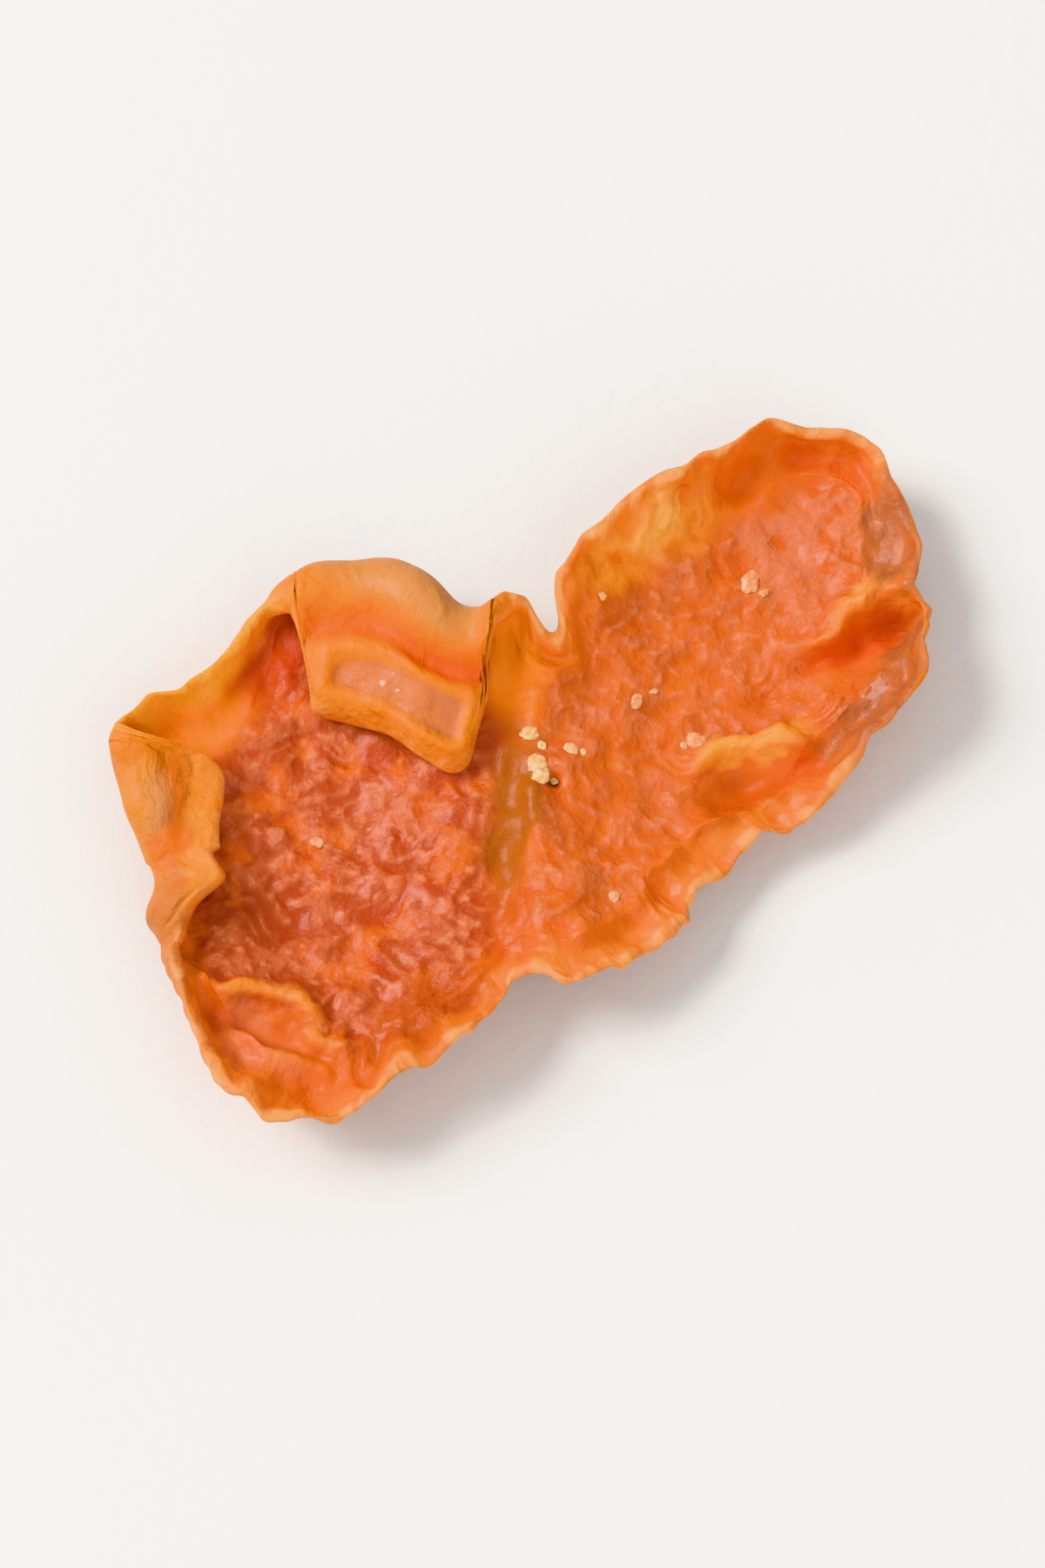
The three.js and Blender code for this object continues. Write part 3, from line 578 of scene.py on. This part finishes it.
def make_fruit():
    """A grid is added, wrapped over the fruit's form and welded where its sides meet."""
    points, marks, rim_place = fruit_points()
    low, high = points.reshape(-1, 3).min(0), points.reshape(-1, 3).max(0)
    points = (points - [*((low + high) / 2)[:2], low[2]]) * MM
    bpy.ops.object.select_all(action="DESELECT")
    bpy.ops.mesh.primitive_grid_add(x_subdivisions=AROUND, y_subdivisions=len(points) - 1, size=1)
    fruit = bpy.context.active_object
    fruit.name = "apricot_flesh"

    def laid(rows):
        """The grid's columns run along X and the fruit's run clockwise, so they are reversed."""
        closed = np.concatenate([rows, rows[:, :1]], axis=1)[:, ::-1]
        return closed.astype(np.float32).ravel()

    fruit.data.vertices.foreach_set("co", laid(points))
    attributes = fruit.data.attributes
    for name, rows in marks.items():
        attributes.new(name, "FLOAT", "POINT").data.foreach_set("value", laid(rows))
    attributes.new("rim_place", "FLOAT_VECTOR", "POINT").data.foreach_set("vector", laid(rim_place))
    fruit.data.update()
    bpy.ops.object.mode_set(mode="EDIT")
    bpy.ops.mesh.select_all(action="SELECT")
    bpy.ops.mesh.remove_doubles(threshold=1e-6)
    bpy.ops.mesh.normals_make_consistent(inside=False)
    bpy.ops.object.mode_set(mode="OBJECT")
    bpy.ops.object.shade_smooth()
    return fruit


def make_crumbs(fruit):
    """Small dried crumbs, each an icosphere pulled out of round and pressed into the pulp."""
    crumbs = []
    for number, (x, y, width) in enumerate(CRUMBS):
        place = fruit.ray_cast(Vector((x, y, 50)) * MM, Vector((0, 0, -1)))[1]
        bpy.ops.object.select_all(action="DESELECT")
        bpy.ops.mesh.primitive_ico_sphere_add(subdivisions=4, radius=0.5)
        crumb = bpy.context.active_object
        corners = np.array([vertex.co for vertex in crumb.data.vertices])
        along, across, upward = corners.T
        lumps = slope_noise(along * 3 + number * 7, across * 3 + upward * 2, 41)
        corners = corners * (1 + CRUMB_LUMPS * lumps)[:, None] * CRUMB_SHAPE
        cosine, sine = math.cos(number * CRUMB_TURN), math.sin(number * CRUMB_TURN)
        corners = corners @ np.array([[cosine, sine, 0], [-sine, cosine, 0], [0, 0, 1]])
        corners = corners * width * MM + np.array(place)
        crumb.data.vertices.foreach_set("co", corners.astype(np.float32).ravel())
        crumb.data.update()
        crumbs.append(crumb)
    bpy.ops.object.select_all(action="DESELECT")
    for crumb in crumbs:
        crumb.select_set(True)
    bpy.context.view_layer.objects.active = crumbs[0]
    bpy.ops.object.join()
    bpy.ops.object.shade_smooth()
    crumbs[0].name = "pulp_crumbs"
    return crumbs[0]


class Value:
    """What a node gives. Arithmetic on it adds nodes to its material: Vector Math nodes for vectors
    and Math nodes for numbers."""

    def __init__(self, finish, socket):
        self.finish, self.socket = finish, socket

    def joined(self, operation, first, second):
        sockets = [part.socket for part in (first, second) if isinstance(part, Value)]
        vectors = any(socket.type == "VECTOR" for socket in sockets)
        kind = "ShaderNodeVectorMath" if vectors else "ShaderNodeMath"
        return self.finish.node(kind, {"operation": operation}, {0: first, 1: second})

    def __add__(self, other):
        return self.joined("ADD", self, other)

    def __sub__(self, other):
        return self.joined("SUBTRACT", self, other)

    def __mul__(self, other):
        return self.joined("MULTIPLY", self, other)

    def __truediv__(self, other):
        return self.joined("DIVIDE", self, other)

    def __rsub__(self, other):
        return self.joined("SUBTRACT", other, self)

    __radd__ = __add__
    __rmul__ = __mul__


class Finish:
    """A material with one Principled shader, which holds what is the same all over."""

    def __init__(self, name, **same_all_over):
        self.material = bpy.data.materials.new(name)
        self.material.use_nodes = True
        self.tree = self.material.node_tree
        self.shader = self.tree.nodes["Principled BSDF"]
        for key, value in same_all_over.items():
            self.fill(self.shader, {key.replace("_", " "): value})
        self.place = self.node("ShaderNodeTexCoord", {}, {}, "Object") / MM

    def fill(self, node, inputs):
        for key, value in inputs.items():
            socket = node.inputs[key]
            if isinstance(value, Value):
                self.tree.links.new(value.socket, socket)
            elif socket.type == "VECTOR" and isinstance(value, (int, float)):
                socket.default_value = (value,) * 3
            else:
                socket.default_value = value

    def node(self, kind, settings, inputs, output=0):
        node = self.tree.nodes.new(kind)
        for key, value in settings.items():
            setattr(node, key, value)
        self.fill(node, inputs)
        return Value(self, node.outputs[output])

    def mark(self, name):
        return self.node("ShaderNodeAttribute", {"attribute_name": name}, {}, "Fac")

    def mark_place(self, name):
        return self.node("ShaderNodeAttribute", {"attribute_name": name}, {}, "Vector")

    def noise(self, place, size, detail, output="Fac"):
        """Noise from 0 to 1, mostly near 0.5, with blobs about the size in millimetres wide."""
        inputs = {"Vector": place, "Scale": 1 / size, "Detail": detail}
        return self.node("ShaderNodeTexNoise", {}, inputs, output)

    def stretched(self, place, scale):
        """Places in which a pattern comes out stretched by the scale."""
        inputs = {"Vector": place, "Scale": scale}
        return self.node("ShaderNodeMapping", {"vector_type": "TEXTURE"}, inputs)

    def step(self, value, low, high, bottom=0.0, top=1.0):
        """Goes smoothly from the bottom to the top as the value goes from low to high."""
        inputs = {
            "Value": value, "From Min": low, "From Max": high, "To Min": bottom, "To Max": top,
        }
        return self.node("ShaderNodeMapRange", {"interpolation_type": "SMOOTHSTEP"}, inputs)

    def patch(self, place, x, y, half_length, half_width, turn=0.0, core=0.4):
        """1 in the core of an oval and 0 outside it."""
        inputs = {
            "Vector": place, "Location": (x, y, 0), "Rotation": (0, 0, math.radians(turn)),
            "Scale": (half_length, half_width, 1000),
        }
        spread = self.node("ShaderNodeMapping", {"vector_type": "TEXTURE"}, inputs)
        distance = self.node("ShaderNodeVectorMath", {"operation": "LENGTH"}, {0: spread}, "Value")
        return self.step(distance, 1, core)

    def colour(self, below, above, share):
        """The colour below, covered by the colour above as far as the share says."""
        below, above = ((*part, 1) if isinstance(part, tuple) else part for part in (below, above))
        inputs = {"Factor": share, 6: below, 7: above}
        return self.node("ShaderNodeMix", {"data_type": "RGBA"}, inputs, 2)

    def layers(self, colour, *layers):
        """The colour with layers laid on it in turn, each a colour and its share."""
        for above, share in layers:
            colour = self.colour(colour, above, share)
        return colour

    def patched(self, colour, place, patches):
        """The colour with patches on it, each a colour, its oval's measures and a share."""
        return self.layers(
            colour, *((above, self.patch(place, *oval) * share) for above, *oval, share in patches)
        )

    def bump(self, height, depth, normal=None):
        """The height, from 0 to 1, as relief of the given depth in millimetres."""
        inputs = {"Height": height, "Distance": depth * MM, "Strength": 1.0}
        if normal:
            inputs["Normal"] = normal
        return self.node("ShaderNodeBump", {}, inputs)


# Colours of the flesh, linear. First the cut side: the left half, the right half and what both have
PULP_RED = (0.42, 0.066, 0.016)
# Painted shade: this deep red and the deep orange two lines down darken the pulp's hollows, creases
# and shaded walls
SHADE_RED = (0.46, 0.042, 0.004)
PULP_ORANGE = (0.62, 0.125, 0.018)
SHADE_ORANGE = (0.66, 0.085, 0.004)
# Pink of the pulp in places, and also painted highlight on the strands' tops
PULP_PINK = (0.62, 0.18, 0.08)
# Painted highlight: pale glints on the pulp
PULP_HIGHLIGHT = (0.78, 0.32, 0.17)
LOW_ORANGE = (0.46, 0.08, 0.009)
AMBER = (0.86, 0.24, 0.004)
SEAM_AMBER = (0.34, 0.09, 0.004)
PIT_BROWN = (0.12, 0.02, 0.004)
# The rising wall and the rim
WALL_ORANGE = (0.74, 0.16, 0.014)
# Painted shade, in the flap's crease and the left roll's valley
WALL_SHADE = (0.70, 0.115, 0.004)
# The thin upper wall's own yellow, brightened as painted glow of light shining through it
WALL_YELLOW_AND_GLOW = (0.98, 0.36, 0.045)
# Yellow of a bump at the notch, and painted highlight along two ridges
YELLOW = (1.0, 0.43, 0.07)
# Painted highlight on the upper wall's lumps
WALL_HIGHLIGHT_YELLOW = (1.0, 0.50, 0.14)
# Painted highlight on the cut side's ridges, and the left roll's own yellow border
RIDGE_YELLOW = (0.92, 0.30, 0.04)
LIP_ORANGE = (0.82, 0.23, 0.03)
# Painted highlight along the rim's thin edge
EDGE_HIGHLIGHT = (0.90, 0.40, 0.14)
RIM_TAN = (0.38, 0.118, 0.047)
RIM_GOLD = (0.86, 0.36, 0.045)
# The skin side
SKIN_TAN = (0.52, 0.20, 0.085)
SKIN_ORANGE = (0.68, 0.18, 0.028)
# Painted shade in the skin's wrinkles
SKIN_SHADE_BROWN = (0.40, 0.11, 0.03)
# The skin's own pink, laid on the wrinkles' crests, where it is partly painted highlight
SKIN_PINK = (0.66, 0.30, 0.16)
# The left roll and the flap
ROLL_GOLD = (0.68, 0.235, 0.028)
# Painted highlight on the left roll
ROLL_HIGHLIGHT = (0.58, 0.235, 0.085)
ROLL_BROWN = (0.48, 0.155, 0.04)
TIP_AMBER = (0.60, 0.155, 0.003)
FLAP_ORANGE = (0.68, 0.17, 0.016)
FLAP_YELLOW = (0.80, 0.24, 0.016)
FLAP_PINK = (0.55, 0.17, 0.065)
FLAP_TAN = (0.55, 0.225, 0.07)
GLINT = (0.95, 0.62, 0.42)

# Ovals of colour. Each is its colour, x, y, half length, half width, turn in degrees and share, in
# millimetres from the middle of the fruit's box. Some lay painted shade or painted highlight, as
# marked
SEAM_PATCHES = [
    (AMBER, -0.6, 8.5, 7, 3.0, 92, 0.95),
    (SEAM_AMBER, -0.8, -3.5, 9, 2.6, 88, 0.85),
]
CUT_PATCHES = [
    (YELLOW, 0.8, 12.8, 2.6, 1.8, 0, 0.7),
    # Painted highlight on the ridge above the right crease
    (YELLOW, 26.0, 15.2, 4.5, 1.2, 25, 0.7),
    # Painted highlight on the lower right ridge
    (YELLOW, 16.5, 3.0, 5, 1.4, 20, 0.6),
    (WALL_ORANGE, 15.0, 22.6, 5, 2.6, 20, 0.6),
    (LOW_ORANGE, 15.5, -1.3, 5, 2.6, 35, 0.6),
    (LOW_ORANGE, -6.6, -18.6, 8, 5.0, 35, 0.95),
    (PULP_PINK, -18.6, -20.4, 5, 3.0, -35, 0.5),
    # Painted shade in the right crease
    (SHADE_ORANGE, 24.0, 11.0, 6, 1.8, 25, 0.95),
    # Painted shade on the shadowed inner wall at the upper left
    (SHADE_RED, -17.2, 9.0, 6.5, 3.4, 58, 0.8),
]
ROLL_PATCHES = [
    # Painted highlight on the left roll
    (ROLL_HIGHLIGHT, -25.4, -3.0, 3.2, 2.0, 70, 0.8),
    (ROLL_BROWN, -24.6, -12.0, 6.5, 3.4, 95, 0.8),
    (TIP_AMBER, -25.9, 2.2, 4.6, 3.6, 0, 0.95),
]

# Ovals whose colour also follows something else
PINK_PULP = dict(x=19.5, y=19.5, half_length=9, half_width=6.0, turn=60)
UPPER_WALL = dict(x=8.4, y=19.6, half_length=10, half_width=5.0, turn=42)
RIGHT_RIM = dict(x=29.0, y=11.5, half_length=20, half_width=8.5, turn=80, core=0.8)
RIGHT_RIDGE = dict(x=24.0, y=11.5, half_length=6, half_width=3.0, turn=25)
# Where the painted highlight along the rim's thin edge is left out
EDGE_WITHOUT_HIGHLIGHT = dict(x=29.0, y=12.0, half_length=17, half_width=7, turn=80, core=0.8)
LEFT_ROLL = dict(x=-23.5, y=-3.0, half_length=11, half_width=6.5, turn=95, core=0.6)
LEFT_TIP = dict(x=-25.0, y=4.4, half_length=8, half_width=4.0, turn=12)
UPPER_LEFT_RIM = dict(x=-23.2, y=7.2, half_length=10, half_width=4.0, turn=42, core=0.6)
FLAP_GLINTS = dict(x=-9.6, y=6.0, half_length=2.6, half_width=1.4, turn=-20)
PIT_STAIN = dict(x=2.1, y=-0.6, half_length=0.8, half_width=0.6, core=0.2)


# What the mesh marks on each of its points for the finish to follow
MARKS = ("from_edge", "skin", "smooth", "strand", "flap_middle", "relief", "flap", "crease")

# How far patterns stray over the fruit and round its rim, and the width of that straying
SWAY = 5
RIM_SWAY = 3
SWAY_WIDTH = 4
EDGE_SWAY = 5  # how far the borders of what follows the rim stray


def flesh_patterns(finish):
    """What the flesh's colours and relief follow: places, the mesh's marks, and noises."""
    place = finish.place
    sway = finish.noise(place, SWAY_WIDTH, 2, "Color")
    sway = finish.node("ShaderNodeVectorMath", {"operation": "SUBTRACT"}, {0: sway, 1: 0.5})
    flesh = SimpleNamespace(place=place, swayed=place + sway * SWAY)
    for name in MARKS:
        setattr(flesh, name, finish.mark(name))
    flesh.rim_place = finish.mark_place("rim_place") + sway * RIM_SWAY
    flesh.mottle = finish.noise(place, 3.2, 4)
    flesh.grain = finish.noise(place, 0.8, 3)
    flesh.blobs = finish.noise(place + 7, 1.6, 3)
    flesh.wrinkles = finish.noise(finish.stretched(flesh.swayed, (1.2, 4.0, 1.2)), 1.1, 3)
    rim_blobs = finish.noise(finish.stretched(flesh.rim_place, (1.0, 1.0, 1.4)), 1.5, 3)
    flesh.rim_blobs = rim_blobs + (flesh.blobs - rim_blobs) * flesh.flap
    flesh.wavy_edge = flesh.from_edge + (flesh.mottle - 0.5) * EDGE_SWAY
    flesh.upper_wall = finish.patch(flesh.swayed, **UPPER_WALL)
    on_flap = flesh.flap * finish.step(flesh.from_edge, 14, 12)
    flesh.under = finish.step(flesh.from_edge, 3, 8) * (1 - on_flap)
    return flesh


def cut_side_colour(finish, flesh):
    """Red pulp on the left and orange on the right, mottled by strands, with a yellower wall.
    Painted shade darkens the hollows between the strands, the creases and the hollows by the wall;
    painted highlights lighten the strands' tops, the ridges and the wall's lumps, and the thin
    upper wall is brightened as painted glow.
    """
    x = finish.node("ShaderNodeSeparateXYZ", {}, {0: flesh.swayed}, "X")
    right_half = finish.step(x, -3, 4)
    # Painted shade, red on the left half and orange on the right
    pulp_shade = finish.colour(SHADE_RED, SHADE_ORANGE, right_half)
    torn = flesh.strand + (flesh.blobs - 0.5) * 2
    # Painted shade in the hollows near the foot of the rim's wall
    wall_hollow_shade = finish.step(flesh.wavy_edge, 7.5, 4) * finish.step(flesh.relief, 0.1, -0.5)
    pink_pulp = finish.patch(flesh.swayed, **PINK_PULP) * finish.step(flesh.blobs, 0.36, 0.56)
    yellowed = finish.step(flesh.rim_blobs, 0.36, 0.56)
    right_rim = finish.patch(flesh.swayed, **RIGHT_RIM) * finish.step(flesh.wavy_edge, 7.0, 2.5)
    right_rim = right_rim * (1 - finish.patch(flesh.swayed, **RIGHT_RIDGE) * 0.8)
    cut = finish.layers(
        finish.colour(PULP_RED, PULP_ORANGE, right_half),
        (WALL_ORANGE, finish.step(flesh.mottle, 0.50, 0.64) * 0.6),
        # Painted shade between the strands, where they and random blobs lie low
        (pulp_shade, finish.step(torn, -0.1, -1.0) * 0.7),
        # Painted highlight: pink on the strands' tops
        (PULP_PINK, finish.step(torn, 0.1, 0.9) * 0.5),
        # Painted highlight: pale glints on the strands' tops and on specks of grain
        (PULP_HIGHLIGHT, finish.step(flesh.strand + (flesh.grain - 0.5) * 4, 0.7, 1.5) * 0.35),
        (PULP_PINK, pink_pulp * 0.8),
        # Painted shade in the hollows of the relief
        (pulp_shade, finish.step(flesh.relief, -0.1, -0.8) * 0.6),
        (WALL_ORANGE, flesh.smooth * 0.7),
        # Painted highlight on the ridges of the relief
        (RIDGE_YELLOW, finish.step(flesh.relief, 0.5, 1.3) * 0.75),
        (WALL_ORANGE, finish.step(flesh.wavy_edge, 7.0, 3.0) * 0.8),
        # Painted shade in the hollows by the wall
        (pulp_shade, wall_hollow_shade * 0.6),
    )
    cut = finish.patched(cut, flesh.swayed, SEAM_PATCHES)
    cut = finish.layers(
        cut,
        # The upper wall's yellow, partly painted glow
        (WALL_YELLOW_AND_GLOW, flesh.upper_wall * (0.25 + yellowed * 0.7)),
        # Painted highlight on the upper wall's raised lumps
        (WALL_HIGHLIGHT_YELLOW, flesh.upper_wall * finish.step(flesh.relief, 0.1, 0.7) * 0.75),
    )
    cut = finish.patched(cut, flesh.swayed, CUT_PATCHES)
    return finish.layers(
        cut,
        (LIP_ORANGE, finish.step(flesh.wavy_edge, 3.0, 0.8) * (0.3 + yellowed * 0.5)),
        (RIM_TAN, right_rim * finish.step(flesh.blobs, 0.3, 0.6, 0.65, 0.95)),
    )


def skin_side_colour(finish, flesh):
    """Tan skin with fine wrinkles, browner in their hollows as painted shade and pinker on their
    crests, partly its own pink and partly painted highlight. It also shows on top where the rim has
    rolled over, with a painted highlight on the left roll, and painted shade in the roll's valley
    and the flap's crease.
    """
    left_roll = finish.patch(flesh.place, **LEFT_ROLL)
    # Painted shade in the valley along the left roll
    shaded_roll_valley = finish.step(flesh.wavy_edge, 1.8, 3.2) * finish.step(flesh.wavy_edge, 5.0, 3.6)
    skin = finish.layers(
        finish.colour(SKIN_TAN, SKIN_ORANGE, finish.step(flesh.mottle, 0.46, 0.66)),
        # Painted shade in the wrinkles' hollows, varied by random mottle
        (SKIN_SHADE_BROWN, finish.step(flesh.wrinkles + flesh.mottle * 0.3, 0.50, 0.36) * 0.12),
        # Pinker on the wrinkles' crests: partly the skin's pink, partly painted highlight
        (SKIN_PINK, finish.step(flesh.wrinkles, 0.50, 0.66) * 0.7),
        (SKIN_TAN, flesh.under * 0.5),
        # Painted shade in the wrinkles' hollows on the underside
        (SKIN_SHADE_BROWN, flesh.under * finish.step(flesh.wrinkles, 0.46, 0.34) * 0.5),
        (WALL_ORANGE, finish.step(flesh.relief, -0.15, -0.8) * 0.7),
        (LIP_ORANGE, finish.step(flesh.wavy_edge, 3.2, 0.8) * 0.5),
        (ROLL_GOLD, left_roll * finish.step(flesh.blobs, 0.35, 0.6, 0.7, 0.95)),
        (RIDGE_YELLOW, left_roll * finish.step(flesh.wavy_edge, 3.0, 1.2) * 0.85),
        (WALL_SHADE, left_roll * shaded_roll_valley * 0.6),
    )
    skin = finish.patched(skin, flesh.swayed, ROLL_PATCHES)
    over_flap = flesh.flap * finish.step(flesh.from_edge, 11, 9)
    arch = flesh.flap * finish.step(flesh.from_edge, 7.8, 9.4)
    pink_middle = finish.step(flesh.flap_middle, 0.45, 0.95)
    glints = finish.step(finish.noise(flesh.place, 0.6, 1), 0.64, 0.74)
    return finish.layers(
        skin,
        (FLAP_ORANGE, over_flap * 0.9),
        (FLAP_YELLOW, over_flap * finish.step(flesh.blobs, 0.35, 0.55, 0.45, 1) * 0.75),
        # Painted shade in the flap's crease
        (WALL_SHADE, flesh.crease * finish.step(flesh.mottle, 0.3, 0.5, 0.5, 0.9)),
        (FLAP_PINK, pink_middle * finish.step(flesh.blobs, 0.35, 0.5, 0.7, 0.95)),
        (FLAP_TAN, arch * finish.step(flesh.rim_blobs + flesh.mottle * 0.5, 0.50, 0.80, 0.6, 0.95)),
        (GLINT, finish.patch(flesh.place, **FLAP_GLINTS) * glints * 0.7),
    )


def flesh_colour(finish, flesh):
    """Both sides, and over them the left tip, a painted highlight along the rim's thin edge, and
    the pit.
    """
    cut, skin = cut_side_colour(finish, flesh), skin_side_colour(finish, flesh)
    left_tip = finish.patch(flesh.swayed, **LEFT_TIP) * finish.step(flesh.from_edge, 11, 8)
    # Painted highlight along the rim's thin edge, stronger in random spots
    highlight_spots = finish.step(flesh.rim_blobs, 0.42, 0.6)
    edge_highlight = finish.step(flesh.from_edge, 0.8, 0.1) * (0.15 + highlight_spots * 0.6)
    edge_highlight = edge_highlight * (1 - finish.patch(flesh.place, **EDGE_WITHOUT_HIGHLIGHT)) * (1 - left_tip * 0.8)
    gold_edge = finish.patch(flesh.place, **UPPER_LEFT_RIM) * finish.step(flesh.from_edge, 2.6, 0.6)
    return finish.layers(
        finish.colour(cut, skin, finish.step(flesh.skin, 0.3, 0.7)),
        (AMBER, left_tip * 0.85),
        (EDGE_HIGHLIGHT, edge_highlight),
        (RIM_GOLD, gold_edge * finish.step(flesh.mottle, 0.35, 0.55, 0.5, 0.9)),
        (PIT_BROWN, finish.patch(flesh.place, **PIT_STAIN) * (1 - flesh.skin) * 0.9),
    )


def flesh_relief(finish, flesh):
    """The finest relief: grainy pulp on one side, creased skin on the other, a blobby rim."""
    cut = 1 - flesh.skin
    pulp = (flesh.grain * 0.8 + flesh.blobs * 0.6) * cut * (1 - flesh.smooth * 0.8)
    pulp = pulp * finish.step(flesh.from_edge, 1.5, 5, 0.25, 1)
    pulp = pulp + finish.noise(flesh.swayed, 2.0, 1) * flesh.upper_wall * cut * 2
    skin = (flesh.wrinkles * 0.9 + flesh.grain * 0.2) * flesh.skin * (1 - flesh.flap_middle * 0.6)
    creases = finish.noise(flesh.rim_place * 0.2 + flesh.from_edge * 0.45, 1.3, 1) * flesh.skin
    skin = skin + creases * finish.step(flesh.from_edge, 9, 6) * (1 - flesh.flap) * 1.3
    fine = finish.noise(finish.stretched(flesh.swayed, (0.5, 2.0, 0.5)), 0.7, 3) * flesh.skin
    skin = skin + fine * flesh.under * 1.2
    normal = finish.bump(pulp + skin, 0.35)
    return finish.bump(flesh.rim_blobs * finish.step(flesh.from_edge, 7, 2), 0.4, normal)


def flesh_finish():
    finish = Finish(
        "dried flesh", Subsurface_Weight=0.25, Subsurface_Radius=(1.0, 0.4, 0.1),
        Subsurface_Scale=0.0012, Coat_Roughness=0.15, IOR=1.36,
    )
    flesh = flesh_patterns(finish)
    moist = finish.step(flesh.mottle, 0.62, 0.4) * (1 - flesh.smooth * 0.85)
    finish.fill(finish.shader, {
        "Base Color": flesh_colour(finish, flesh),
        "Roughness": finish.step(flesh.skin, 0.3, 0.7, 0.5, 0.55) + (flesh.grain - 0.5) * 0.4,
        "Coat Weight": finish.step(flesh.skin, 0.3, 0.7, 0.2, 0.06) * moist,
        "Normal": flesh_relief(finish, flesh),
    })
    return finish.material


def crumb_finish():
    finish = Finish(
        "dried crumb", Subsurface_Weight=0.5, Subsurface_Radius=(1.0, 0.5, 0.15),
        Subsurface_Scale=0.001, Coat_Weight=0.5, Coat_Roughness=0.15,
    )
    grain = finish.noise(finish.place, 0.35, 3)
    grainy = finish.step(grain, 0.4, 0.6)
    at_seam = finish.patch(finish.place, x=0.6, y=1.0, half_length=4.5, half_width=6.0)
    peach = finish.colour((0.80, 0.27, 0.10), (0.90, 0.40, 0.19), grainy)
    straw = finish.colour((0.88, 0.40, 0.14), (0.95, 0.56, 0.28), grainy)
    finish.fill(finish.shader, {
        "Base Color": finish.colour(peach, straw, at_seam),
        "Roughness": finish.step(grain, 0.3, 0.7, 0.25, 0.45),
        "Normal": finish.bump(grain, 0.1),
    })
    return finish.material


def table_finish():
    finish = Finish("pale table")
    cloud = finish.noise(finish.place, 60, 4)
    finish.fill(finish.shader, {
        "Base Color": finish.colour((0.74, 0.73, 0.71), (0.80, 0.79, 0.77), cloud),
        "Roughness": finish.step(cloud, 0.3, 0.7, 0.5, 0.6),
        "Normal": finish.bump(finish.noise(finish.place, 1.2, 2), 0.05),
    })
    return finish.material


def make_table():
    bpy.ops.object.select_all(action="DESELECT")
    bpy.ops.mesh.primitive_plane_add(size=4)
    table = bpy.context.active_object
    table.name = "pale_table"
    table.data.materials.append(table_finish())


def add_light(name, place, size, power):
    bpy.ops.object.light_add(type="AREA", location=place)
    light = bpy.context.active_object
    light.name = name
    light.data.size = size
    light.data.energy = power
    light.rotation_euler = (-Vector(place)).to_track_quat("-Z", "Y").to_euler()


def add_camera(elevation, distance, lens, aim):
    tilt = math.radians(elevation)
    place = Vector(aim) + distance * Vector((0, -math.cos(tilt), math.sin(tilt)))
    bpy.ops.object.camera_add(location=place)
    camera = bpy.context.active_object
    camera.rotation_euler = (Vector(aim) - place).to_track_quat("-Z", "Y").to_euler()
    camera.data.lens = lens
    camera.data.sensor_width = 36
    bpy.context.scene.camera = camera


def light_studio():
    """A softbox at the back left, a weak one in front, and a pale room."""
    add_light("window_softbox", place=(-0.5, 0.15, 0.5), size=0.4, power=6)
    add_light("front_fill", place=(0.3, -0.5, 0.5), size=0.6, power=2.5)
    room = bpy.data.worlds.new("studio")
    room.use_nodes = True
    background = room.node_tree.nodes["Background"]
    background.inputs["Color"].default_value = (1, 1, 1, 1)
    background.inputs["Strength"].default_value = 0.55
    bpy.context.scene.world = room
    bpy.context.scene.view_settings.view_transform = "Khronos PBR Neutral"


add_camera(elevation=68, distance=0.46, lens=150, aim=(0.0, 0.0, 0.003))

fruit = make_fruit()
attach(fruit, "root")
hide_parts("dried_apricot")
fruit.data.materials.append(flesh_finish())

crumbs = make_crumbs(fruit)
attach(crumbs, "root")
crumbs.data.materials.clear()
crumbs.data.materials.append(crumb_finish())

make_table()
light_studio()
